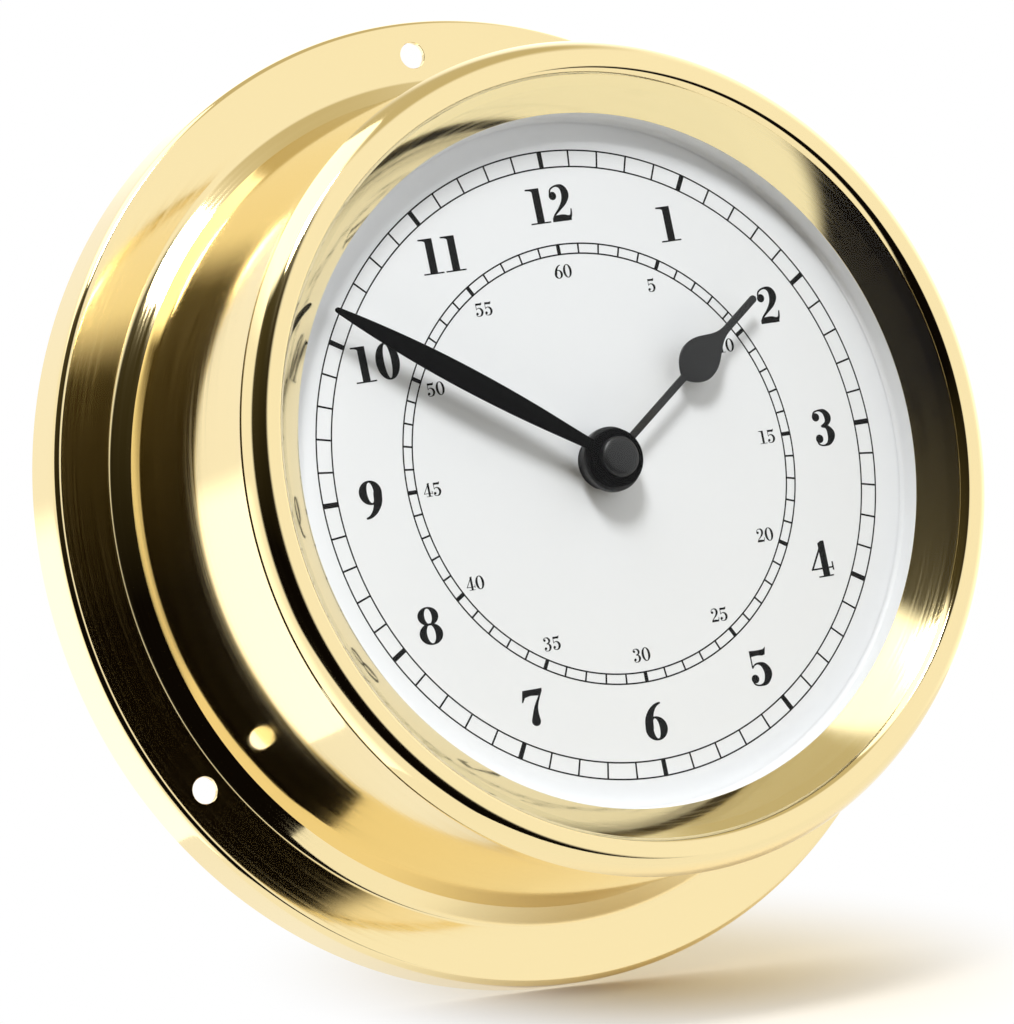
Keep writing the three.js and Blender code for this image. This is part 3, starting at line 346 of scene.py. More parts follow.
def drilled_flat(inner, outer, height, holes, hole_radius):
    """Flat ring with round holes: a triangulation of its circles, less the triangles inside a hole."""
    loops = [circle(inner, COLUMNS), circle(outer, COLUMNS)]
    loops += [circle(hole_radius, SMALL_COLUMNS, hole) for hole in holes]
    starts = np.cumsum([0] + [len(loop) for loop in loops])
    edges = []
    for start, loop in zip(starts, loops):
        index = np.arange(len(loop))
        edges += np.stack([start + index, start + (index + 1) % len(loop)], axis=1).tolist()
    flat = [Vector(point) for point in np.concatenate(loops)]
    points, _, faces, *_ = delaunay_2d_cdt(flat, edges, [], 0, FLAT_EPSILON)
    points = np.array(points, float)
    faces = np.array(faces)
    middle = points[faces].mean(axis=1)
    kept = np.linalg.norm(middle, axis=1) > inner
    for hole in holes:
        kept &= np.linalg.norm(middle - hole, axis=1) > hole_radius
    return np.column_stack([points, np.full(len(points), height)]), faces[kept]


def raised(points, faces, back, front):
    """Closed body over a flat net of triangles: the net at both heights, with walls on its open edges."""
    count = len(points)
    spread = points[faces]
    one = spread[:, 1] - spread[:, 0]
    other = spread[:, 2] - spread[:, 0]
    backward = one[:, 0] * other[:, 1] - one[:, 1] * other[:, 0] < 0
    faces = np.where(backward[:, None], faces[:, ::-1], faces)
    edges = np.concatenate([faces, np.roll(faces, -1, axis=1)]).reshape(2, -1).T
    codes = edges[:, 0] * count + edges[:, 1]
    open_edges = edges[~np.isin(codes, edges[:, 1] * count + edges[:, 0])]
    start, end = open_edges.T
    walls = np.stack([start, end, end + count, start + count], axis=1)
    body = np.vstack(
        [
            np.column_stack([points, np.full(count, back)]),
            np.column_stack([points, np.full(count, front)]),
        ]
    )
    return body, [*faces[:, ::-1].tolist(), *(faces + count).tolist(), *walls.tolist()]


def new_piece(name, parts, finish, crease=30.0):
    """Mesh object from (points, faces) parts: welded, faced outwards and shaded smooth up to a crease."""
    starts = np.cumsum([0] + [len(points) for points, _ in parts])
    points = placed(np.concatenate([points for points, _ in parts]))
    faces = []
    for start, (_, part_faces) in zip(starts, parts):
        faces += [[int(corner) + int(start) for corner in face] for face in part_faces]
    mesh = bpy.data.meshes.new(name)
    mesh.from_pydata(points.tolist(), [], faces)
    work = bmesh.new()
    work.from_mesh(mesh)
    bmesh.ops.remove_doubles(work, verts=work.verts, dist=WELD)
    bmesh.ops.recalc_face_normals(work, faces=work.faces)
    work.to_mesh(mesh)
    work.free()
    mesh.polygons.foreach_set("use_smooth", np.ones(len(mesh.polygons), bool))
    mesh.set_sharp_from_angle(angle=math.radians(crease))
    mesh.materials.append(finish)
    piece = bpy.data.objects.new(name, mesh)
    bpy.context.scene.collection.objects.link(piece)
    return piece


def carry(piece, body, slot, *nodes):
    """Makes a piece move with a body and stand for CAD nodes, which it hides; the slot is not used."""
    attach(piece, body)
    if nodes:
        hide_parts(*nodes)


def united(piece, other):
    """One closed mesh out of two that overlap."""
    union = piece.modifiers.new("Union", "BOOLEAN")
    union.operation = "UNION"
    union.solver = "EXACT"
    union.object = other
    graph = bpy.context.evaluated_depsgraph_get()
    mesh = bpy.data.meshes.new_from_object(piece.evaluated_get(graph))
    piece.modifiers.clear()
    piece.data = mesh
    bpy.data.objects.remove(other)
    return piece


# Finishes.


def add_node(tree, kind, inputs=None, **options):
    """Adds a node, sets its options and gives its sockets values or links."""
    node = tree.nodes.new(kind)
    for name, value in options.items():
        setattr(node, name, value)
    for name, value in (inputs or {}).items():
        if isinstance(value, bpy.types.NodeSocket):
            tree.links.new(value, node.inputs[name])
        else:
            node.inputs[name].default_value = value
    return node


def new_finish(name):
    """An empty material and its node tree."""
    finish = bpy.data.materials.new(name)
    finish.use_nodes = True
    finish.node_tree.nodes.clear()
    return finish, finish.node_tree


RING_SPACING = 0.35  # millimetres; buffing lines are finer, and are drawn this coarse to show
WAVE_SPACING = 7.0  # millimetres between the slight waves that spinning leaves
WAVE_RISE = 0.0035  # millimetres
RING_RISE = 0.00012  # millimetres
LINE_DRIFT = (0.012, 0.0, 0.007)  # how fast the lines change on their way round
LINE_NOISE = (0.3, 0.7)  # span of the noise that the roughness follows
WIRE_SPACING = 0.3  # millimetres; a turn of the wire is 0.08, and is drawn this coarse to show
WIRE_RISE = 0.05  # millimetres


def spun_brass(name, base, smoothest, roughest):
    """Brass sheet spun on a lathe and buffed. The eye sees a warm mirror with faint waves, and fine lines
    that run round the axis."""
    finish, tree = new_finish(name)
    place = add_node(tree, "ShaderNodeTexCoord")
    axes = add_node(tree, "ShaderNodeSeparateXYZ", {"Vector": place.outputs["Object"]})
    across = add_node(
        tree,
        "ShaderNodeVectorMath",
        {0: place.outputs["Object"], 1: (1.0, 0.0, 1.0)},
        operation="MULTIPLY",
    )
    radius = add_node(tree, "ShaderNodeVectorMath", {0: across.outputs[0]}, operation="LENGTH")
    drift = add_node(
        tree,
        "ShaderNodeVectorMath",
        {0: place.outputs["Object"], 1: LINE_DRIFT},
        operation="DOT_PRODUCT",
    )
    lathe = add_node(
        tree,
        "ShaderNodeCombineXYZ",
        {"X": radius.outputs["Value"], "Y": axes.outputs["Y"], "Z": drift.outputs["Value"]},
    )
    wave = add_node(
        tree,
        "ShaderNodeTexNoise",
        {"Vector": lathe.outputs[0], "Scale": MM / WAVE_SPACING, "Detail": 1.0},
    )
    ring = add_node(
        tree,
        "ShaderNodeTexNoise",
        {"Vector": lathe.outputs[0], "Scale": MM / RING_SPACING, "Detail": 2.0},
    )
    waved = add_node(
        tree,
        "ShaderNodeBump",
        {"Height": wave.outputs[0], "Distance": WAVE_RISE / MM, "Strength": 1.0},
    )
    ringed = add_node(
        tree,
        "ShaderNodeBump",
        {
            "Height": ring.outputs[0],
            "Distance": RING_RISE / MM,
            "Strength": 1.0,
            "Normal": waved.outputs[0],
        },
    )
    rough = add_node(
        tree,
        "ShaderNodeMapRange",
        {
            "Value": ring.outputs[0],
            "From Min": LINE_NOISE[0],
            "From Max": LINE_NOISE[1],
            "To Min": smoothest,
            "To Max": roughest,
        },
    )
    shader = add_node(
        tree,
        "ShaderNodeBsdfPrincipled",
        {
            "Base Color": base,
            "Metallic": 1.0,
            "Roughness": rough.outputs[0],
            "Normal": ringed.outputs[0],
        },
    )
    add_node(tree, "ShaderNodeOutputMaterial", {"Surface": shader.outputs[0]})
    return finish


def plain_finish(name, base, roughness, grain=0.0, rise=0.0, metallic=0.0, coat=0.0, specular=0.5):
    """A finish of one colour; a grain in millimetres adds bumps of that size and rise."""
    finish, tree = new_finish(name)
    inputs = {
        "Base Color": base,
        "Roughness": roughness,
        "Metallic": metallic,
        "Coat Weight": coat,
        "Specular IOR Level": specular,
    }
    if grain:
        place = add_node(tree, "ShaderNodeTexCoord")
        noise = add_node(
            tree,
            "ShaderNodeTexNoise",
            {"Vector": place.outputs["Object"], "Scale": MM / grain, "Detail": 2.0},
        )
        bump = add_node(
            tree,
            "ShaderNodeBump",
            {"Height": noise.outputs[0], "Distance": rise / MM, "Strength": 1.0},
        )
        inputs["Normal"] = bump.outputs[0]
    shader = add_node(tree, "ShaderNodeBsdfPrincipled", inputs)
    add_node(tree, "ShaderNodeOutputMaterial", {"Surface": shader.outputs[0]})
    return finish


def wound_copper(name, base):
    """Enamelled copper wire in even layers. The eye sees fine warm glossy rings along the coil."""
    finish, tree = new_finish(name)
    place = add_node(tree, "ShaderNodeTexCoord")
    wave = add_node(
        tree,
        "ShaderNodeTexWave",
        {"Vector": place.outputs["Object"], "Scale": MM / WIRE_SPACING / TAU, "Distortion": 0.4},
        bands_direction="X",
    )
    bump = add_node(
        tree,
        "ShaderNodeBump",
        {"Height": wave.outputs[1], "Distance": WIRE_RISE / MM, "Strength": 0.6},
    )
    shader = add_node(
        tree,
        "ShaderNodeBsdfPrincipled",
        {"Base Color": base, "Metallic": 1.0, "Roughness": 0.3, "Normal": bump.outputs[0]},
    )
    add_node(tree, "ShaderNodeOutputMaterial", {"Surface": shader.outputs[0]})
    return finish


GLASS_TINT = (0.985, 0.99, 0.988, 1.0)
GLASS_INDEX = 1.5
COATING = 0.22  # share of a bare surface's mirror that the glass's coating leaves


def clear_glass(name):
    """Coated float glass. The eye sees what is behind it, with a very faint mirror on its front."""
    finish, tree = new_finish(name)
    clear = add_node(tree, "ShaderNodeBsdfTransparent", {"Color": GLASS_TINT})
    mirror = add_node(tree, "ShaderNodeBsdfGlossy", {"Color": (1, 1, 1, 1), "Roughness": 0.0})
    share = add_node(tree, "ShaderNodeFresnel", {"IOR": GLASS_INDEX})
    side = add_node(tree, "ShaderNodeNewGeometry")
    front = add_node(
        tree,
        "ShaderNodeMath",
        {0: 1.0, 1: side.outputs["Backfacing"]},
        operation="SUBTRACT",
    )
    factor = add_node(
        tree,
        "ShaderNodeMath",
        {0: share.outputs[0], 1: front.outputs[0]},
        operation="MULTIPLY",
    )
    factor = add_node(
        tree,
        "ShaderNodeMath",
        {0: factor.outputs[0], 1: COATING},
        operation="MULTIPLY",
    )
    mix = add_node(
        tree,
        "ShaderNodeMixShader",
        {0: factor.outputs[0], 1: clear.outputs[0], 2: mirror.outputs[0]},
    )
    add_node(tree, "ShaderNodeOutputMaterial", {"Surface": mix.outputs[0]})
    return finish


# Finishes by slot, with one more each for the minute hand and the print: a name, and what makes it.
FINISHES = {
    "polished_brass": (
        "brass_spun_and_buffed",
        lambda name, c: spun_brass(name, c.brass, smoothest=0.04, roughest=0.12),
    ),
    "bare_brass": (
        "brass_turned",
        lambda name, c: spun_brass(name, c.bare_brass, smoothest=0.2, roughest=0.35),
    ),
    # Zinc plate over steel: dull grey metal with a fine grain.
    "steel": (
        "steel_zinc_plated",
        lambda name, c: plain_finish(name, c.steel, 0.32, grain=0.5, rise=0.002, metallic=1.0),
    ),
    "glass": ("clear_float_glass", lambda name, c: clear_glass(name)),
    # Moulded polystyrene: white with a soft sheen.
    "spacer_white": (
        "polystyrene_white_moulded",
        lambda name, c: plain_finish(name, c.spacer, 0.45),
    ),
    # White lacquer on aluminium: even satin white.
    "dial_white": (
        "aluminium_lacquered_white",
        lambda name, c: plain_finish(name, c.dial, 0.5),
    ),
    # Black lacquer on stamped aluminium: deep black with a soft sheen.
    "hand_black": (
        "aluminium_lacquered_black",
        lambda name, c: plain_finish(name, c.hands, 0.42),
    ),
    # The hands' lacquer again, darker and with next to no mirror: painted shade for the minute hand,
    # standing in for the dark side of the room that its lacquer mirrors.
    "minute_black_painted_shade": (
        "aluminium_lacquered_black_painted_shade",
        lambda name, c: plain_finish(name, c.minute_hand, 0.6, specular=0.03),
    ),
    # Printed ink: flat black.
    "ink_black": (
        "screen_ink_black",
        lambda name, c: plain_finish(name, c.ink, 0.55, specular=0.15),
    ),
    # Moulded ABS from a sparked tool: matt with a fine even grain.
    "housing_black": (
        "abs_black_moulded",
        lambda name, c: plain_finish(name, c.housing, 0.5, grain=0.4, rise=0.012),
    ),
    # Natural acetal: waxy off-white.
    "gear_white": (
        "acetal_natural_moulded",
        lambda name, c: plain_finish(name, c.gears, 0.38),
    ),
    # The housing's plastic in grey.
    "knob_grey": (
        "abs_grey_moulded",
        lambda name, c: plain_finish(name, c.knob, 0.48, grain=0.4, rise=0.01),
    ),
    # Sintered ferrite: dark grey with a fine broken grain.
    "magnet": (
        "ferrite_sintered",
        lambda name, c: plain_finish(name, c.magnet, 0.55, grain=0.3, rise=0.01),
    ),
    "copper_wire": ("copper_wire_wound", lambda name, c: wound_copper(name, c.copper)),
    # Solder mask over glass cloth: green gloss.
    "board_green": (
        "glass_epoxy_solder_masked",
        lambda name, c: plain_finish(name, c.board, 0.3, grain=0.8, rise=0.006),
    ),
    # Shrunk printed film: smooth gloss.
    "battery_skin": (
        "battery_film_printed",
        lambda name, c: plain_finish(name, c.battery, 0.28, coat=0.3),
    ),
}


def finish_for(slot):
    """The finish of a slot, made once."""
    name, make = FINISHES[slot]
    return bpy.data.materials.get(name) or make(name, bpy.context.scene.clock_colours)


# Case.

HOLE_TURNS = (0.0, 121.2, -121.2)  # degrees from twelve o'clock
GUARD = 0.4  # millimetres of flange between its edges and the drilled part
MOUTH_POINTS = 12  # points inside the mouth among which its inner edge is worked out

# Handles of the curves, as shares of the widths and lengths that they span.
ROUND_PULL = 0.6
BARREL_FOOT_PULL = (0.635, 0.092)
BARREL_WAIST_PULL = 0.725
FLARE_PULL = (0.5, 0.78)


def case_outside(sizes):
    """Half outline of the case from the wall forwards: rim, rounding, face, bevel, barrel and flare. Also
    returns the number of points before the drilled part of the face."""
    face_outer = FLANGE_RADIUS - sizes.rim_round_width * MM
    face_inner = face_outer - sizes.face_width * MM
    top = sizes.flange_height * MM
    rim_top = top - sizes.rim_round_height * MM
    round_width = sizes.rim_round_width * MM
    round_height = sizes.rim_round_height * MM
    barrel_radius = face_inner - sizes.bevel_width * MM
    barrel_foot = top + sizes.bevel_height * MM
    taper_width = sizes.taper_width * MM
    taper_length = sizes.taper_length * MM
    waist = barrel_radius - taper_width
    waist_height = barrel_foot + taper_length
    flare_width = sizes.flare_width * MM
    flare_length = MOUTH_HEIGHT - waist_height
    rim_foot = FLANGE_RADIUS - sizes.rim_draft * MM
    rim = np.linspace((rim_foot, 0.0), (FLANGE_RADIUS, rim_top), num=6)
    rounding = bezier(
        [
            (FLANGE_RADIUS, rim_top),
            (FLANGE_RADIUS, rim_top + ROUND_PULL * round_height),
            (face_outer + ROUND_PULL * round_width, top),
            (face_outer, top),
        ]
    )
    before = np.vstack([rim[:-1], rounding, [(face_outer - GUARD, top)]])
    bevel = np.linspace((face_inner, top), (barrel_radius, barrel_foot), num=5)
    barrel = bezier(
        [
            (barrel_radius, barrel_foot),
            (
                waist + BARREL_FOOT_PULL[0] * taper_width,
                barrel_foot + BARREL_FOOT_PULL[1] * taper_length,
            ),
            (waist, barrel_foot + BARREL_WAIST_PULL * taper_length),
            (waist, waist_height),
        ],
        steps=40,
    )
    flare = bezier(
        [
            (waist, waist_height),
            (waist, waist_height + FLARE_PULL[0] * flare_length),
            (waist, waist_height + FLARE_PULL[1] * flare_length),
            (waist + flare_width, MOUTH_HEIGHT),
        ],
        steps=30,
    )
    after = np.vstack([[(face_inner + GUARD, top)], bevel[:-1], barrel[:-1], flare])
    return np.vstack([before, after]), len(before)


def case_parts(sizes):
    """Closed spun shell: its half outline and the same line set in by the sheet, both turned, with the
    drilled flat faces and the walls of the holes between them."""
    outside, split = case_outside(sizes)
    inside = offset_inwards(outside, sizes.sheet * MM)
    inside[0, 1] = 0.0
    near = inside[-MOUTH_POINTS:-1]
    inside[-1] = (np.interp(MOUTH_HEIGHT, near[:, 1], near[:, 0]), MOUTH_HEIGHT)
    inside[:, 1] = np.minimum(inside[:, 1], MOUTH_HEIGHT)
    rim = np.vstack([outside[:split][::-1], inside[:split]])
    barrel = np.vstack([outside[split:], inside[split:][::-1]])
    top = outside[split, 1]
    under = inside[split, 1]
    face_inner = outside[split + 1, 0]
    circle_radius = face_inner + sizes.hole_inset * MM
    turns = np.radians(HOLE_TURNS)
    holes = circle_radius * np.stack([np.sin(turns), np.cos(turns)], axis=1)
    hole = sizes.hole_radius * MM
    edge = sizes.hole_edge * MM
    wall = [(hole + edge, top), (hole, top - edge), (hole, under + edge), (hole + edge, under)]
    limits = outside[split, 0], outside[split - 1, 0]
    return [
        turned(rim, closed=False),
        turned(barrel, closed=False),
        drilled_flat(*limits, top, holes, hole + edge),
        drilled_flat(inside[split, 0], inside[split - 1, 0], under, holes, hole + edge),
        *[turned(wall, SMALL_COLUMNS, closed=False, centre=place) for place in holes],
    ]


class CLOCK_OT_case(bpy.types.Operator):
    """Spun brass case with its wall flange and screw holes"""

    bl_idname = "clock.case"
    bl_label = "Case"

    def execute(self, context):
        parts = case_parts(context.scene.clock_case)
        shell = new_piece("brass_case", parts, finish_for("polished_brass"))
        carry(shell, "case", "polished_brass", "case_shell")
        return {"FINISHED"}


# Bezel, sloping ring and glass.

LIP_EDGE = 0.06  # millimetres of upright edge at the roll's lip
FUNNEL_EDGE = 0.12  # millimetres taken off the sloping ring's edge over the dial
DIAL_CLEARANCE = 0.2  # millimetres between the dial and the skirt round it

# Handles of the roll's curves, as shares of the widths and heights that they span.
LIP_PULL = (0.3, 0.7)
CREST_PULL = (0.5, 0.46)
ROLL_EDGE_PULL = (0.14, 0.68)


def funnel_slope(sizes):
    """How much the sloping ring widens for each millimetre forwards."""
    far = reach("funnel_ring") - sizes.funnel_wall * MM
    return (far - sizes.sight_radius * MM) / (FUNNEL_TOP - FUNNEL_FOOT)


def skirt_radius(sizes):
    """Outside of the skirt, which the dial fits into with its wall between."""
    return DIAL_RADIUS + DIAL_CLEARANCE + sizes.skirt_wall * MM


def bezel_outline(sizes, seat):
    """Closed half outline of the front ring: lip over the glass, two curves that meet at the crest,
    upright edge, and the skirt that goes into the case."""
    slope = funnel_slope(sizes)
    lip_height = GLASS_FRONT + CLEARANCE
    roll = sizes.roll_width * MM
    inner = BEZEL_RADIUS - roll
    lip = inner - sizes.lip_overlap * MM
    crest = inner + sizes.crest_offset * MM
    edge = sizes.roll_edge * MM
    fillet = sizes.skirt_fillet * MM
    skirt = skirt_radius(sizes)
    skirt_inner = skirt - sizes.skirt_wall * MM
    behind = (sizes.sight_radius + sizes.funnel_wall) * MM + CLEARANCE
    lip_rise = CREST_HEIGHT - lip_height
    lip_width = crest - lip
    inside = bezier(
        [
            (lip, lip_height + LIP_EDGE),
            (lip + LIP_PULL[0] * lip_width, lip_height + LIP_PULL[1] * lip_rise),
            (crest - CREST_PULL[0] * lip_width, CREST_HEIGHT),
            (crest, CREST_HEIGHT),
        ]
    )
    outside = bezier(
        [
            (crest, CREST_HEIGHT),
            (crest + CREST_PULL[1] * roll, CREST_HEIGHT),
            (
                BEZEL_RADIUS - ROLL_EDGE_PULL[0] * roll,
                seat + ROLL_EDGE_PULL[1] * (CREST_HEIGHT - seat),
            ),
            (BEZEL_RADIUS, seat + edge),
        ],
        steps=32,
    )
    back = [
        (BEZEL_RADIUS - edge / 2, seat),
        (skirt + fillet, seat),
        (skirt, seat - fillet),
        (skirt, SKIRT_BACK),
        (skirt_inner, SKIRT_BACK),
        (skirt_inner, FUNNEL_FOOT + (skirt_inner - behind) / slope),
        (behind + slope * (lip_height - FUNNEL_FOOT), lip_height),
    ]
    return np.vstack([[(lip, lip_height)], inside[:-1], outside, back])


def funnel_outline(sizes):
    """Closed half outline of the sloping ring, with a softened inner edge."""
    sight = sizes.sight_radius * MM
    wall = sizes.funnel_wall * MM
    far = reach("funnel_ring")
    foot = [(sight, FUNNEL_FOOT), (sight + wall, FUNNEL_FOOT)]
    top = [(far, FUNNEL_TOP), (far - wall, FUNNEL_TOP)]
    return rounded(foot + top, [FUNNEL_EDGE, BROKEN_EDGE, BROKEN_EDGE, BROKEN_EDGE])


class CLOCK_OT_bezel(bpy.types.Operator):
    """Rolled front ring and the sloping ring inside it"""

    bl_idname = "clock.bezel"
    bl_label = "Bezel"

    def execute(self, context):
        sizes = context.scene.clock_bezel
        brass = finish_for("polished_brass")
        outline = bezel_outline(sizes, MOUTH_HEIGHT + CLEARANCE)
        ring = new_piece("brass_bezel", [turned(outline)], brass)
        carry(ring, "case", "polished_brass", "bezel_ring")
        funnel = new_piece("brass_funnel", [turned(funnel_outline(sizes))], brass)
        carry(funnel, "case", "polished_brass", "funnel_ring")
        return {"FINISHED"}


class CLOCK_OT_glass(bpy.types.Operator):
    """Flat glass held in the sloping ring"""

    bl_idname = "clock.glass"
    bl_label = "Glass"

    def execute(self, context):
        front = reach("glass")
        back = front - funnel_slope(context.scene.clock_bezel) * (GLASS_FRONT - GLASS_BACK)
        outline = [(0.0, GLASS_BACK), (back, GLASS_BACK), (front, GLASS_FRONT), (0.0, GLASS_FRONT)]
        pane = new_piece("flat_glass", [turned(outline, closed=False)], finish_for("glass"))
        carry(pane, "case", "glass", "glass")
        return {"FINISHED"}


# Dial.

HOURS = 12
MINUTES = 60
FIVE = 5  # minutes between two bold ticks
GAP_CELLS = 4  # cells of a circle between two ticks
PRINT_GAP = 0.001  # millimetres between the dial and the ink
PRINT_RISE = 0.02  # millimetres from the dial to the ink's front
HAIR = 0.055  # thin strokes, as a share of a number's height
NUMBER_GAP = 0.07  # between the figures of a number, as a share of its height
HOUR_WEIGHT = 1.0  # how thick the hours' strokes are, against the drawing below
SMALL_WEIGHT = 0.7  # and those of the small numbers
BALL_KEPT = 0.4  # share of a ball's radius that the weight leaves alone
FIGURE_EPSILON = 1e-5  # of a figure's height, within which a point lies on an edge
SPACER_SETBACK = 0.15  # millimetres from the sloping ring's edge out to the spacer's wall
COVE = 0.7  # millimetres of the hollow at the spacer's foot
COVE_EDGE = 0.04  # millimetres of spacer at the hollow's end
COVE_PULL = (0.3, 0.4, 0.06)  # millimetres: its first handle's height, its second's way in and height

# The figures' own drawing, one unit high. A stroke is a smooth line of (x, y, width); a ring has a middle,
# its outer half sizes and its inner half sizes; a ball has a middle and a radius; a plate is an outline.
FIGURES = {
    "0": {"width": 0.73, "rings": [(0.365, 0.5, 0.365, 0.515, 0.112, 0.465)]},
    "1": {
        "width": 0.63,
        "strokes": [[(0.318, 0.0, 0.235), (0.318, 1.0, 0.235)]],
        "plates": [
            [(0.0, 0.0), (0.63, 0.0), (0.63, 0.04), (0.0, 0.04)],
            [(0.0, 1.0), (0.0, 0.958), (0.13, 0.945), (0.24, 0.89), (0.4, 0.9), (0.4, 1.0)],
        ],
    },
    "2": {
        "width": 0.66,
        "strokes": [
            [
                (0.04, 0.72, 0.04),
                (0.1, 0.92, 0.05),
                (0.3, 1.0, 0.06),
                (0.47, 0.93, 0.17),
                (0.535, 0.74, 0.235),
                (0.45, 0.53, 0.17),
                (0.28, 0.35, 0.09),
                (0.11, 0.2, 0.06),
                (0.03, 0.08, 0.06),
            ],
            [
                (0.01, 0.06, 0.08),
                (0.14, 0.1, 0.15),
                (0.34, 0.095, 0.18),
                (0.5, 0.075, 0.15),
                (0.6, 0.14, 0.07),
                (0.64, 0.32, 0.035),
            ],
        ],
        "balls": [(0.135, 0.73, 0.118)],
        "plates": [[(0.0, 0.0), (0.6, 0.0), (0.6, 0.06), (0.0, 0.06)]],
    },
    "3": {
        "width": 0.68,
        "strokes": [
            [
                (0.045, 0.84, 0.04),
                (0.12, 0.965, 0.045),
                (0.29, 1.0, 0.055),
                (0.45, 0.94, 0.15),
                (0.535, 0.77, 0.215),
                (0.46, 0.61, 0.14),
                (0.27, 0.545, 0.045),
            ],
            [
                (0.27, 0.545, 0.045),
                (0.45, 0.5, 0.13),
                (0.545, 0.29, 0.245),
                (0.45, 0.08, 0.15),
                (0.29, 0.005, 0.055),
                (0.11, 0.045, 0.045),
                (0.035, 0.2, 0.04),
            ],
        ],
        "balls": [(0.148, 0.82, 0.118), (0.138, 0.205, 0.122)],
    },
    "4": {
        "width": 0.73,
        "strokes": [
            [(0.463, 0.0, 0.215), (0.463, 0.97, 0.215)],
            [(0.5, 1.0, 0.055), (0.035, 0.25, 0.055)],
        ],
        "plates": [
            [(0.0, 0.225), (0.72, 0.225), (0.72, 0.27), (0.0, 0.27)],
            [(0.69, 0.16), (0.735, 0.16), (0.735, 0.4), (0.69, 0.4)],
            [(0.2, 0.0), (0.69, 0.0), (0.69, 0.04), (0.2, 0.04)],
            [(0.355, 0.96), (0.57, 0.96), (0.57, 1.02), (0.46, 1.02)],
        ],
    },
    "5": {
        "width": 0.71,
        "strokes": [
            [(0.12, 0.5, 0.04), (0.12, 0.98, 0.04)],
            [
                (0.12, 0.5, 0.035),
                (0.2, 0.585, 0.045),
                (0.34, 0.61, 0.07),
                (0.5, 0.52, 0.18),
                (0.585, 0.31, 0.245),
                (0.48, 0.08, 0.16),
                (0.3, 0.005, 0.055),
                (0.11, 0.05, 0.045),
                (0.035, 0.2, 0.04),
            ],
        ],
        "balls": [(0.138, 0.2, 0.122)],
        "plates": [
            [
                (0.1, 0.99),
                (0.135, 0.82),
                (0.36, 0.835),
                (0.5, 0.81),
                (0.59, 0.83),
                (0.645, 1.045),
                (0.56, 0.985),
                (0.36, 0.975),
            ]
        ],
    },
    "6": {
        "width": 0.7,
        "rings": [(0.35, 0.325, 0.35, 0.335, 0.105, 0.28)],
        "strokes": [
            [
                (0.135, 0.34, 0.26),
                (0.175, 0.6, 0.25),
                (0.3, 0.83, 0.17),
                (0.46, 0.965, 0.095),
                (0.61, 1.01, 0.05),
            ]
        ],
    },
    "7": {
        "width": 0.7,
        "strokes": [
            [
                (0.67, 0.96, 0.05),
                (0.55, 0.76, 0.06),
                (0.43, 0.55, 0.1),
                (0.37, 0.36, 0.17),
                (0.335, 0.14, 0.28),
            ]
        ],
        "balls": [(0.333, 0.135, 0.14)],
        "plates": [
            [
                (0.08, 1.0),
                (0.0, 0.68),
                (0.04, 0.68),
                (0.12, 0.8),
                (0.3, 0.835),
                (0.56, 0.81),
                (0.7, 1.0),
            ]
        ],
    },
    "8": {
        "width": 0.72,
        "rings": [
            (0.36, 0.77, 0.32, 0.255, 0.113, 0.21),
            (0.36, 0.28, 0.36, 0.295, 0.13, 0.25),
        ],
    },
    "9": {
        "width": 0.7,
        "rings": [(0.35, 0.675, 0.35, 0.335, 0.105, 0.28)],
        "strokes": [
            [
                (0.565, 0.66, 0.26),
                (0.525, 0.4, 0.25),
                (0.4, 0.17, 0.17),
                (0.24, 0.035, 0.095),
                (0.09, -0.01, 0.05),
            ]
        ],
    },
}


def spline(nodes, steps=8):
    """Smooth line through nodes: between two of them, the cubic whose slope at each end is half the step
    from the node before to the node after."""
    node = np.asarray(nodes, float)
    node = np.vstack([2 * node[0] - node[1], node, 2 * node[-1] - node[-2]])
    t = np.linspace(0, 1, steps, endpoint=False)[None, :, None]
    a, b, c, d = (node[i : len(node) - 3 + i, None] for i in range(4))
    curve = 0.5 * (
        2 * b
        + (c - a) * t
        + (2 * a - 5 * b + 4 * c - d) * t**2
        + (3 * b - a - 3 * c + d) * t**3
    )
    return np.vstack([curve.reshape(-1, node.shape[1]), node[-2]])


def strip(left, right):
    """Four-cornered cells between two lines with the same number of points."""
    return np.stack([left[:-1], right[:-1], right[1:], left[1:]], axis=1)


def stroke_cells(nodes, weight):
    """Cells of a stroke: its line moved half its width to each side. The weight scales what is more than
    a hair line."""
    x, y, width = spline(nodes).T
    width = HAIR + np.where(width > HAIR, (width - HAIR) * weight, width - HAIR)
    line = np.stack([x, y], axis=1)
    along = np.gradient(line, axis=0)
    along /= np.linalg.norm(along, axis=1, keepdims=True)
    side = np.stack([-along[:, 1], along[:, 0]], axis=1) * width[:, None] / 2
    return strip(line + side, line - side)


def ring_cells(ring, weight):
    """Cells between two ellipses with one middle."""
    x, y, outer_x, outer_y, inner_x, inner_y = ring
    inner_x = outer_x - HAIR - (outer_x - inner_x - HAIR) * weight
    angle = np.linspace(0, TAU, num=49)
    around = np.stack([np.cos(angle), np.sin(angle)], axis=1)
    return strip(around * (outer_x, outer_y) + (x, y), around * (inner_x, inner_y) + (x, y))


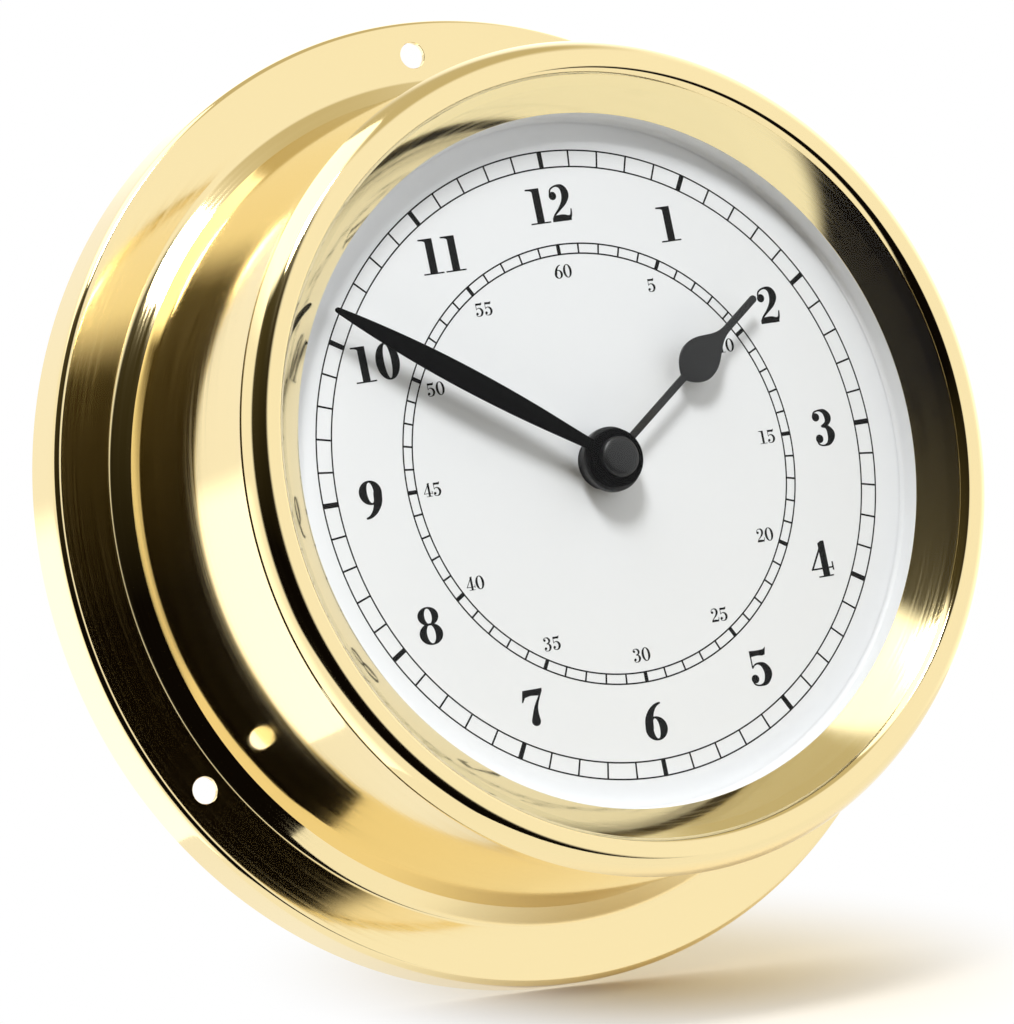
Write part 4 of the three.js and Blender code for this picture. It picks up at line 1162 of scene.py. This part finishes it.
def figure_net(figure, weight):
    """Flat triangles of a figure: all its cells laid over each other, cut where they cross, and joined."""
    shapes = [cell for nodes in figure.get("strokes", []) for cell in stroke_cells(nodes, weight)]
    shapes += [cell for ring in figure.get("rings", []) for cell in ring_cells(ring, weight)]
    shapes += [np.array(plate) for plate in figure.get("plates", [])]
    shapes += [
        circle(radius * (BALL_KEPT + (1 - BALL_KEPT) * weight), columns=24, centre=(x, y))
        for x, y, radius in figure.get("balls", [])
    ]
    starts = np.cumsum([0] + [len(shape) for shape in shapes])
    outlines = []
    for start, shape in zip(starts, shapes):
        ahead = np.roll(shape, -1, axis=0)
        turn = np.sum(shape[:, 0] * ahead[:, 1] - shape[:, 1] * ahead[:, 0])
        order = np.arange(start, start + len(shape))
        outlines.append((order if turn > 0 else order[::-1]).tolist())
    flat = [Vector(point) for point in np.concatenate(shapes)]
    points, _, faces, _, _, sources = delaunay_2d_cdt(flat, [], outlines, 0, FIGURE_EPSILON)
    kept = [face for face, source in zip(faces, sources) if source]
    return np.array(points, float), np.array(kept)


def number_nets(text, place, height, weight):
    """Flat triangles of an upright number around its middle."""
    figures = [FIGURES[letter] for letter in text]
    total = sum(figure["width"] for figure in figures) + NUMBER_GAP * (len(figures) - 1)
    left = -total / 2
    nets = []
    for figure in figures:
        points, faces = figure_net(figure, weight)
        nets.append(((points + (left, -0.5)) * height + place, faces))
        left += figure["width"] + NUMBER_GAP
    return nets


def track_net(outer, width, line, tick, bold):
    """Flat cells of a track: rings of cells for its two circles, and between them the cells of the ticks,
    the bold one at each fifth."""
    inner = outer - width
    radii = np.array([outer + line / 2, outer - line / 2, inner + line / 2, inner - line / 2])
    half = np.where(np.arange(MINUTES) % FIVE == 0, bold, tick) / 2 / (outer - width / 2)
    minute = np.arange(MINUTES) * TAU / MINUTES
    gap = np.linspace(0, 1, GAP_CELLS + 1)[None, :]
    start = (minute + half)[:, None]
    following = np.append(minute[1:], TAU)
    end = (following - np.roll(half, -1))[:, None]
    angle = np.column_stack([minute - half, start + (end - start) * gap])[:, :-1].reshape(-1)
    points = np.stack([np.outer(radii, np.sin(angle)), np.outer(radii, np.cos(angle))], axis=-1)
    faces = grid_faces(len(radii), len(angle), wrap_rows=False).reshape(3, MINUTES, -1, 4)
    ticks = faces[1, :, :1].reshape(-1, 4)
    cells = np.vstack([faces[0].reshape(-1, 4), faces[2].reshape(-1, 4), ticks])
    return points.reshape(-1, 2), np.vstack([cells[:, [0, 1, 2]], cells[:, [0, 2, 3]]])


def dial_nets(sizes):
    """All the dial's print: two tracks, the hours and the small numbers."""
    line = sizes.circle_line * MM
    tick = sizes.tick_line * MM
    nets = [
        track_net(
            sizes.minute_track * MM,
            sizes.minute_track_width * MM,
            line,
            tick,
            sizes.hour_tick_line * MM,
        ),
        track_net(
            sizes.second_track * MM,
            sizes.second_track_width * MM,
            line,
            tick,
            sizes.five_tick_line * MM,
        ),
    ]
    hours = circle(sizes.hour_circle * MM, HOURS)
    fives = circle(sizes.minute_circle * MM, HOURS)
    for i in range(HOURS):
        nets += number_nets(str(i or HOURS), hours[i], sizes.hour_height * MM, HOUR_WEIGHT)
        nets += number_nets(str(FIVE * i or MINUTES), fives[i], sizes.minute_height * MM, SMALL_WEIGHT)
    return nets


def spacer_outline(sizes):
    """Closed half outline of the pale ring between the dial and the funnel, with a hollow foot."""
    wall = sizes.sight_radius * MM + SPACER_SETBACK
    foot = bezier(
        [
            (wall, SPACER_FOOT + COVE),
            (wall, SPACER_FOOT + COVE_PULL[0]),
            (wall - COVE_PULL[1], SPACER_FOOT + COVE_PULL[2]),
            (wall - COVE, SPACER_FOOT + COVE_EDGE),
        ],
        steps=8,
    )
    edge = [(wall - COVE, SPACER_FOOT), (DIAL_RADIUS, SPACER_FOOT), (DIAL_RADIUS, SPACER_TOP)]
    return np.vstack([foot, edge, [(wall, SPACER_TOP)]])


class CLOCK_OT_dial(bpy.types.Operator):
    """White dial, its print and the pale ring round it"""

    bl_idname = "clock.dial"
    bl_label = "Dial"

    def execute(self, context):
        bush = bore_radius("dial_plate")
        plate_outline = [
            (bush, DIAL_FRONT),
            (DIAL_RADIUS, DIAL_FRONT),
            (DIAL_RADIUS, DIAL_BACK),
            (bush, DIAL_BACK),
        ]
        plate = new_piece("white_dial", [turned(plate_outline)], finish_for("dial_white"))
        carry(plate, "case", "dial_white", "dial_plate")
        nets = dial_nets(context.scene.clock_dial)
        bodies = [raised(*net, DIAL_FRONT + PRINT_GAP, DIAL_FRONT + PRINT_RISE) for net in nets]
        ink_print = new_piece("dial_print", bodies, finish_for("ink_black"))
        carry(ink_print, "case", "hand_black")
        spacer = new_piece(
            "white_spacer",
            [turned(spacer_outline(context.scene.clock_bezel))],
            finish_for("spacer_white"),
        )
        carry(spacer, "case", "spacer_white", "dial_spacer")
        return {"FINISHED"}


# Hands.

EDGE_POINTS = 5  # points round a quarter of a blade's soft edge
EDGE_SHARE = 0.8  # of a blade's half width, the most that the soft edge takes
ROOT_OVERLAP = 1.0  # millimetres of a blade inside its boss
BOSS_EDGES = (0.12, 0.2)  # millimetres taken off a boss's back and front edges

# Handles of the hands' curves, as shares of the widths and lengths that they span.
MINUTE_ROOT_PULL = (1.12, 0.31)
MINUTE_BELLY_PULL = (0.54, 0.45)
MINUTE_TIP_PULL = (0.48, 0.165)
PEAR_ROOT_PULL = (0.7, 0.1)
PEAR_PULL = 0.45
NECK_PULL = 0.55

# Edge, handles and socket of the cap, as shares of its height and radius.
CAP_EDGE = 0.45
CAP_PULL = 0.8
CAP_SOCKET = 0.5


def blade(side, back, front, edge):
    """Stamped blade: at each station along its length a flat section with rounded edges, as wide as the
    outline there, carried from root to tip and closed at both ends."""
    half, along = np.asarray(side, float).T
    arc = np.linspace(0, math.pi / 2, EDGE_POINTS)
    quarter = np.concatenate([arc, arc + math.pi / 2, arc + math.pi, arc + 3 * math.pi / 2])
    across = np.repeat([1.0, -1.0, -1.0, 1.0], EDGE_POINTS)
    upward = np.repeat([1.0, 1.0, -1.0, -1.0], EDGE_POINTS)
    soft = np.minimum(edge, EDGE_SHARE * half)[:, None]
    middle = (front + back) / 2
    thick = (front - back) / 2
    x = (half[:, None] - soft) * across + soft * np.cos(quarter)
    z = middle + (thick - soft) * upward + soft * np.sin(quarter)
    y = np.repeat(along[:, None], len(quarter), axis=1)
    rows = np.stack([x, y, z], axis=-1)
    ends = [np.broadcast_to((0.0, along[i], middle), rows[:1].shape) for i in (0, -1)]
    rows = np.concatenate([ends[0], rows, ends[1]])
    return rows.reshape(-1, 3), grid_faces(len(rows), len(quarter), wrap_rows=False)


def swung(part, angle):
    """A part turned clockwise about the axis."""
    points, faces = part
    x, y, z = points.T
    turned_x = x * math.cos(angle) + y * math.sin(angle)
    turned_y = y * math.cos(angle) - x * math.sin(angle)
    return np.stack([turned_x, turned_y, z], axis=1), faces


def minute_side(sizes):
    """Half outline of the minute hand: two curves that meet at the belly, and a round tip."""
    span = sizes.minute_length * MM
    belly_at = sizes.minute_belly_at * MM
    belly = sizes.minute_belly * MM / 2
    root = sizes.minute_root * MM / 2
    tip = sizes.minute_tip * MM / 2
    start = sizes.minute_boss * MM - ROOT_OVERLAP
    ahead = span - belly_at
    inner = bezier(
        [
            (root, start),
            (MINUTE_ROOT_PULL[0] * root, MINUTE_ROOT_PULL[1] * belly_at),
            (belly, MINUTE_BELLY_PULL[0] * belly_at),
            (belly, belly_at),
        ],
        steps=24,
    )
    outer = bezier(
        [
            (belly, belly_at),
            (belly, belly_at + MINUTE_BELLY_PULL[1] * ahead),
            (MINUTE_TIP_PULL[0] * belly, span - MINUTE_TIP_PULL[1] * ahead),
            (tip, span - tip),
        ],
        steps=24,
    )
    return np.vstack([inner[:-1], outer, round_tip(tip, span)])


def hour_side(sizes):
    """Half outline of the hour hand: straight stem, pear and straight point with a round tip."""
    span = sizes.hour_length * MM
    stem = sizes.hour_stem * MM / 2
    belly = sizes.hour_pear * MM / 2
    widest = sizes.hour_pear_widest * MM
    start = sizes.hour_pear_start * MM
    end = sizes.hour_pear_end * MM
    shoulder = widest - start
    taper = end - widest
    pear = bezier(
        [
            (stem, start - stem),
            (PEAR_ROOT_PULL[0] * belly, start + PEAR_ROOT_PULL[1] * shoulder),
            (belly, widest - PEAR_PULL * shoulder),
            (belly, widest),
        ],
        steps=24,
    )
    neck = bezier(
        [
            (belly, widest),
            (belly, widest + PEAR_PULL * taper),
            (stem, widest + NECK_PULL * taper),
            (stem, end),
        ],
        steps=24,
    )
    root = [(stem, sizes.hour_boss * MM - ROOT_OVERLAP)]
    return np.vstack([root, pear[:-1], neck, [(stem, span - stem)], round_tip(stem, span)])


def round_tip(half, span):
    """Half outline of a round end, less its last point."""
    angle = np.linspace(0, math.pi / 2, num=8)[1:-1]
    return np.stack([half * np.cos(angle), span - half + half * np.sin(angle)], axis=1)


def hand(name, side, boss_radius, bore, back, front, sizes, angle, lacquer):
    """One hand: its blade at half the boss's height, made one with the turned boss."""
    middle = (back + front) / 2
    thick = sizes.thickness * MM / 2
    edge = sizes.edge * MM
    black = finish_for(lacquer)
    stamped = blade(side, middle - thick, middle + thick, edge)
    piece = new_piece(name, [swung(stamped, angle)], black)
    corners = [(bore, back), (boss_radius, back), (boss_radius, front), (bore, front)]
    ring = turned(rounded(corners, [BROKEN_EDGE, *BOSS_EDGES, BROKEN_EDGE]), SMALL_COLUMNS)
    boss = new_piece(name + "_boss", [ring], black)
    return united(piece, boss)


def cap_outline(bore):
    """Half outline of the cap, from the end of its socket round its back edge to the top of its dome."""
    rise = CAP_FRONT - CAP_BACK
    socket_end = CAP_BACK + CAP_SOCKET * rise
    socket = [(0.0, socket_end), (bore, socket_end), (bore, CAP_BACK)]
    dome = bezier(
        [
            (CAP_RADIUS, CAP_BACK + CAP_EDGE * rise),
            (CAP_RADIUS, CAP_BACK + CAP_PULL * rise),
            (CAP_PULL * CAP_RADIUS, CAP_FRONT),
            (0.0, CAP_FRONT),
        ],
        steps=16,
    )
    return np.vstack([socket, [(CAP_RADIUS, CAP_BACK)], dome])


class CLOCK_OT_hands(bpy.types.Operator):
    """Hour hand, minute hand and the cap that holds them"""

    bl_idname = "clock.hands"
    bl_label = "Hands"

    def execute(self, context):
        sizes = context.scene.clock_hands
        hour = hand(
            "black_hour_hand",
            hour_side(sizes),
            sizes.hour_boss * MM,
            bore_radius("hour_hand"),
            HOUR_BACK,
            HOUR_FRONT,
            sizes,
            sizes.hour_angle,
            "hand_black",
        )
        carry(hour, "hour", "hand_black", "hour_hand")
        # The minute hand takes the darker copy of the lacquer, whose deeper black is painted shade.
        minute = hand(
            "black_minute_hand",
            minute_side(sizes),
            sizes.minute_boss * MM,
            bore_radius("minute_hand"),
            MINUTE_BACK,
            MINUTE_FRONT,
            sizes,
            sizes.minute_angle,
            "minute_black_painted_shade",
        )
        carry(minute, "minute", "hand_black", "minute_hand")
        dome = turned(cap_outline(bore_radius("minute_hand")), SMALL_COLUMNS, closed=False)
        cap = new_piece("black_hand_cap", [dome], finish_for("hand_black"))
        carry(cap, "minute", "hand_black", "hand_cap")
        return {"FINISHED"}


class CLOCK_OT_movement(bpy.types.Operator):
    """Finishes of the movement and the inner rings, whose CAD solids are shown as they are"""

    bl_idname = "clock.movement"
    bl_label = "Movement"

    def execute(self, context):
        for name, node in frame["nodes"].items():
            node.data.materials.clear()
            node.data.materials.append(finish_for(SLOTS[name]))
        return {"FINISHED"}


# Stage.

FLOOR_RINGS = 24
FLOOR_NORMAL = (0.069, -0.280, 0.957)
FLOOR_TOUCH = (-5.28, 0.0, -73.2)  # millimetres; where the rim's back edge stands
FLOOR_GAP = 0.15  # millimetres under that edge
FLOOR_SHIFT = (68.0, -5.0)  # millimetres from there to the floor's middle, to the right and back
SHADE_SHIFT = (26.0, 5.0)  # millimetres from there to the middle of what shows of the floor's shade
SHADE_REACH = (12.0, 68.0)  # millimetres from that middle, over which it fades into the background
CAMERA_PLACE = (-470.5, -840.4, -72.4)  # millimetres
CAMERA_RIGHT = (0.86004, -0.46964, -0.19942)
CAMERA_UP = (0.13878, -0.16080, 0.97718)
CAMERA_LENS = 224.83  # millimetres
CAMERA_SENSOR = 36.0  # millimetres, along the picture's longer side
LAMP_BEARING = -22.0  # degrees from the front, towards the right
LAMP_ELEVATION = 46.7  # degrees
LAMP_DISTANCE = 900.0  # millimetres
LAMP_SIZE = 200.0  # millimetres along each side

# The room round the clock. Its edges are pairs of degrees, between which each part of it fades in:
# bearings from the front towards the right, and heights over the level.
DARK_LEFT = (-95.0, -85.0)
DARK_RIGHT = (5.0, -7.0)
DARK_BEND = -5.0  # height below which the dark side's right edge runs outwards
DARK_LEAN = 1.3  # how fast it does
DARK_FOOT = 52.0  # below the level: where the pale table ends, straight ahead
DARK_FOOT_SPREAD = 0.75  # how fast that edge rises to the sides
DARK_FOOT_EDGE = (-3.0, 3.0)
DARK_TOP = (53.0, 46.0)
DARK_TOP_BEND = -60.0  # bearing to the right of which the top edge falls
DARK_TOP_FALL = 12.0  # how much lower it is straight ahead
DARK_RISE = (-2.0, 42.0)  # heights between which the dark side grows paler
DARK_UPPER = "#453F29"
DARK_LOWER = "#0B0806"
CEILING_EDGE = (44.0, 60.0)
CEILING_LEFT = (-16.0, 4.0)
CEILING = "#CDC3A6"
LAMP_WALL_EDGE = (36.0, 54.0)
LAMP_WALL_RIGHT = (-4.0, -18.0)
LAMP_WALL = 1.9  # brightness of the wall by the lamp
PANEL_LEFT = (62.0, 100.0)
PANEL_RIGHT = (175.0, 150.0)
PANEL_FOOT = (-35.0, 5.0)
PANEL_TOP = (55.0, 25.0)
PANEL = 1.5  # brightness of the pale screen on the right
SHEET_RIGHT = (-95.0, -125.0)
SHEET_TOP = (12.0, 7.0)
SHEET = 1.7  # brightness of the pale sheet behind on the left


def studio_room(strength):
    """White room by direction, which the brass mirrors: one dark side between a table's edge below and a
    lamp's wall above, a beige ceiling, a bright screen on the right and a bright sheet behind on the
    left. The camera sees plain white."""
    world = bpy.data.worlds.new("studio_room")
    bpy.context.scene.world = world
    world.use_nodes = True
    tree = world.node_tree
    tree.nodes.clear()
    way = add_node(tree, "ShaderNodeTexCoord")
    axes = add_node(tree, "ShaderNodeSeparateXYZ", {0: way.outputs["Generated"]})
    ahead = add_node(tree, "ShaderNodeMath", {0: axes.outputs["Y"], 1: -1.0}, operation="MULTIPLY")
    bearing = add_node(
        tree,
        "ShaderNodeMath",
        {0: axes.outputs["X"], 1: ahead.outputs[0]},
        operation="ARCTAN2",
    ).outputs[0]
    level = add_node(tree, "ShaderNodeMath", {0: axes.outputs["Z"]}, operation="ARCSINE").outputs[0]
    # Right edge: the bearing, less the lean for each degree below the bend.
    below = add_node(
        tree,
        "ShaderNodeMath",
        {0: level, 1: math.radians(-DARK_BEND)},
        operation="ADD",
    )
    below = add_node(tree, "ShaderNodeMath", {0: below.outputs[0], 1: 0.0}, operation="MINIMUM")
    right = add_node(
        tree,
        "ShaderNodeMath",
        {0: below.outputs[0], 1: DARK_LEAN, 2: bearing},
        operation="MULTIPLY_ADD",
    ).outputs[0]
    # Foot: the height over an edge that rises with the cosine of the bearing.
    spread = add_node(
        tree,
        "ShaderNodeMath",
        {0: bearing, 1: DARK_FOOT_SPREAD},
        operation="MULTIPLY",
    )
    spread = add_node(tree, "ShaderNodeMath", {0: spread.outputs[0]}, operation="COSINE")
    foot = add_node(
        tree,
        "ShaderNodeMath",
        {0: spread.outputs[0], 1: math.radians(DARK_FOOT), 2: level},
        operation="MULTIPLY_ADD",
    ).outputs[0]
    # Top: the height over an edge that falls with the square of the bearing past its bend.
    bend = math.radians(-DARK_TOP_BEND)
    past = add_node(tree, "ShaderNodeMath", {0: bearing, 1: bend}, operation="ADD")
    past = add_node(tree, "ShaderNodeMath", {0: past.outputs[0], 1: 0.0}, operation="MAXIMUM")
    past = add_node(
        tree,
        "ShaderNodeMath",
        {0: past.outputs[0], 1: past.outputs[0]},
        operation="MULTIPLY",
    )
    top = add_node(
        tree,
        "ShaderNodeMath",
        {0: past.outputs[0], 1: math.radians(DARK_TOP_FALL) / bend**2, 2: level},
        operation="MULTIPLY_ADD",
    ).outputs[0]
    shade = add_node(
        tree,
        "ShaderNodeMapRange",
        {
            "Value": level,
            "From Min": math.radians(DARK_RISE[0]),
            "From Max": math.radians(DARK_RISE[1]),
        },
    )
    dark = add_node(
        tree,
        "ShaderNodeMix",
        {"Factor": shade.outputs[0], "A": linear(DARK_LOWER), "B": linear(DARK_UPPER)},
        data_type="RGBA",
    )
    # Each part of the room lies over the ones before it, and is the product of its soft edges.
    parts = [
        (linear(CEILING), [(level, CEILING_EDGE), (bearing, CEILING_LEFT)]),
        (
            (PANEL, PANEL, PANEL, 1.0),
            [(bearing, PANEL_LEFT), (bearing, PANEL_RIGHT), (level, PANEL_FOOT), (level, PANEL_TOP)],
        ),
        ((SHEET, SHEET, SHEET, 1.0), [(bearing, SHEET_RIGHT), (level, SHEET_TOP)]),
        (
            (LAMP_WALL, LAMP_WALL, LAMP_WALL, 1.0),
            [(level, LAMP_WALL_EDGE), (bearing, LAMP_WALL_RIGHT)],
        ),
        (
            dark.outputs["Result"],
            [(bearing, DARK_LEFT), (right, DARK_RIGHT), (foot, DARK_FOOT_EDGE), (top, DARK_TOP)],
        ),
    ]
    room = (strength, strength, strength, 1.0)
    for tint, edges in parts:
        share = 1.0
        for value, (start, end) in edges:
            edge = add_node(
                tree,
                "ShaderNodeMapRange",
                {"Value": value, "From Min": math.radians(start), "From Max": math.radians(end)},
                interpolation_type="SMOOTHSTEP",
            )
            share = add_node(
                tree,
                "ShaderNodeMath",
                {0: edge.outputs[0], 1: share},
                operation="MULTIPLY",
            ).outputs[0]
        room = add_node(
            tree,
            "ShaderNodeMix",
            {"Factor": share, "A": room, "B": tint},
            data_type="RGBA",
        ).outputs["Result"]
    path = add_node(tree, "ShaderNodeLightPath")
    seen = add_node(
        tree,
        "ShaderNodeMix",
        {"Factor": path.outputs["Is Camera Ray"], "A": room, "B": (1.0, 1.0, 1.0, 1.0)},
        data_type="RGBA",
    )
    sky = add_node(tree, "ShaderNodeBackground", {"Color": seen.outputs["Result"]})
    add_node(tree, "ShaderNodeOutputWorld", {"Surface": sky.outputs[0]})


class CLOCK_OT_stage(bpy.types.Operator):
    """Floor, white room, lamp and camera"""

    bl_idname = "clock.stage"
    bl_label = "Stage"

    def execute(self, context):
        studio = context.scene.clock_studio
        studio_room(studio.room)
        set_floor(studio)
        set_lamp(studio)
        set_camera()
        context.scene.view_settings.view_transform = "Standard"
        return {"FINISHED"}


def set_floor(studio):
    """Pale round floor that fades into the background: rings of points in the plane under the rim."""
    normal = Vector(FLOOR_NORMAL).normalized()
    across = (Vector((1.0, 0.0, 0.0)) - normal * normal.x).normalized()
    back = normal.cross(across)
    touch = Vector(FLOOR_TOUCH) - normal * FLOOR_GAP
    middle, shade = (
        np.array(touch + across * aside + back * behind) for aside, behind in (FLOOR_SHIFT, SHADE_SHIFT)
    )
    radius = np.linspace(0.0, studio.floor_radius * MM, FLOOR_RINGS)
    angle = np.arange(SMALL_COLUMNS) * TAU / SMALL_COLUMNS
    ring = np.outer(np.cos(angle), across) + np.outer(np.sin(angle), back)
    points = (middle + radius[:, None, None] * ring[None]).reshape(-1, 3) / MM
    mesh = bpy.data.meshes.new("floor")
    faces = grid_faces(FLOOR_RINGS, SMALL_COLUMNS, wrap_rows=False)
    mesh.from_pydata(points.tolist(), [], faces.tolist())
    work = bmesh.new()
    work.from_mesh(mesh)
    bmesh.ops.remove_doubles(work, verts=work.verts, dist=WELD)
    work.to_mesh(mesh)
    work.free()
    floor = bpy.data.objects.new("floor", mesh)
    bpy.context.scene.collection.objects.link(floor)
    finish, tree = new_finish("painted_board_pale")
    place = add_node(tree, "ShaderNodeTexCoord")
    away = add_node(
        tree,
        "ShaderNodeVectorMath",
        {0: place.outputs["Object"], 1: tuple(shade / MM)},
        operation="DISTANCE",
    )
    far = add_node(
        tree,
        "ShaderNodeMapRange",
        {
            "Value": away.outputs["Value"],
            "From Min": SHADE_REACH[0] / MM,
            "From Max": SHADE_REACH[1] / MM,
        },
        interpolation_type="SMOOTHSTEP",
    )
    # The matt floor takes the warm tint, a painted gold glow from the brass, where its shade shows.
    matt = add_node(tree, "ShaderNodeBsdfDiffuse", {"Color": studio.floor})
    white = add_node(tree, "ShaderNodeEmission", {"Color": (1, 1, 1, 1), "Strength": 1.0})
    path = add_node(tree, "ShaderNodeLightPath")
    seen = add_node(
        tree,
        "ShaderNodeMath",
        {0: path.outputs["Is Camera Ray"], 1: path.outputs["Is Glossy Ray"]},
        operation="ADD",
    )
    seen = add_node(
        tree,
        "ShaderNodeMath",
        {0: seen.outputs[0], 1: path.outputs["Is Transmission Ray"]},
        operation="ADD",
        use_clamp=True,
    )
    share = add_node(
        tree,
        "ShaderNodeMath",
        {0: far.outputs[0], 1: seen.outputs[0]},
        operation="MULTIPLY",
    )
    mix = add_node(
        tree,
        "ShaderNodeMixShader",
        {0: share.outputs[0], 1: matt.outputs[0], 2: white.outputs[0]},
    )
    add_node(tree, "ShaderNodeOutputMaterial", {"Surface": mix.outputs[0]})
    mesh.materials.append(finish)


def set_lamp(studio):
    """One square lamp, in front of the dial, above it and to the left."""
    bearing = math.radians(LAMP_BEARING)
    elevation = math.radians(LAMP_ELEVATION)
    way = Vector(
        (
            math.cos(elevation) * math.sin(bearing),
            -math.cos(elevation) * math.cos(bearing),
            math.sin(elevation),
        )
    )
    data = bpy.data.lights.new("soft_lamp", "AREA")
    data.energy = studio.lamp
    data.shape = "SQUARE"
    data.size = LAMP_SIZE / MM
    lamp = bpy.data.objects.new("soft_lamp", data)
    lamp.location = way * LAMP_DISTANCE / MM
    lamp.rotation_euler = way.to_track_quat("Z", "Y").to_euler()
    bpy.context.scene.collection.objects.link(lamp)


def set_camera():
    """Camera at the photograph's place, from its right and up directions."""
    right = Vector(CAMERA_RIGHT)
    up = Vector(CAMERA_UP)
    back = right.cross(up)
    data = bpy.data.cameras.new("camera")
    data.lens = CAMERA_LENS
    data.sensor_width = CAMERA_SENSOR
    camera = bpy.data.objects.new("camera", data)
    camera.matrix_world = Matrix.Translation(Vector(CAMERA_PLACE) / MM) @ Matrix(
        (right, up, back)
    ).transposed().to_4x4()
    bpy.context.scene.collection.objects.link(camera)
    bpy.context.scene.camera = camera


class CLOCK_PT_panel(bpy.types.Panel):
    """Builders of the clock's pieces"""

    bl_idname = "CLOCK_PT_panel"
    bl_label = "Ship's Clock"
    bl_space_type = "VIEW_3D"
    bl_region_type = "UI"
    bl_category = "Clock"

    def draw(self, context):
        for operator in OPERATORS:
            self.layout.operator(operator.bl_idname)


GROUPS = {
    "clock_case": CaseSizes,
    "clock_bezel": BezelSizes,
    "clock_dial": DialSizes,
    "clock_hands": HandSizes,
    "clock_colours": ClockColours,
    "clock_studio": StudioSettings,
}
OPERATORS = [
    CLOCK_OT_movement,
    CLOCK_OT_case,
    CLOCK_OT_bezel,
    CLOCK_OT_glass,
    CLOCK_OT_dial,
    CLOCK_OT_hands,
    CLOCK_OT_stage,
]


def register():
    for name, group in GROUPS.items():
        bpy.utils.register_class(group)
        setattr(bpy.types.Scene, name, bpy.props.PointerProperty(type=group))
    for operator in OPERATORS:
        bpy.utils.register_class(operator)
    bpy.utils.register_class(CLOCK_PT_panel)


def unregister():
    bpy.utils.unregister_class(CLOCK_PT_panel)
    for operator in reversed(OPERATORS):
        bpy.utils.unregister_class(operator)
    for name, group in GROUPS.items():
        delattr(bpy.types.Scene, name)
        bpy.utils.unregister_class(group)


def main():
    register()
    bpy.ops.clock.movement()
    bpy.ops.clock.case()
    bpy.ops.clock.bezel()
    bpy.ops.clock.glass()
    bpy.ops.clock.dial()
    bpy.ops.clock.hands()
    bpy.ops.clock.stage()


if __name__ == "__main__":
    main()
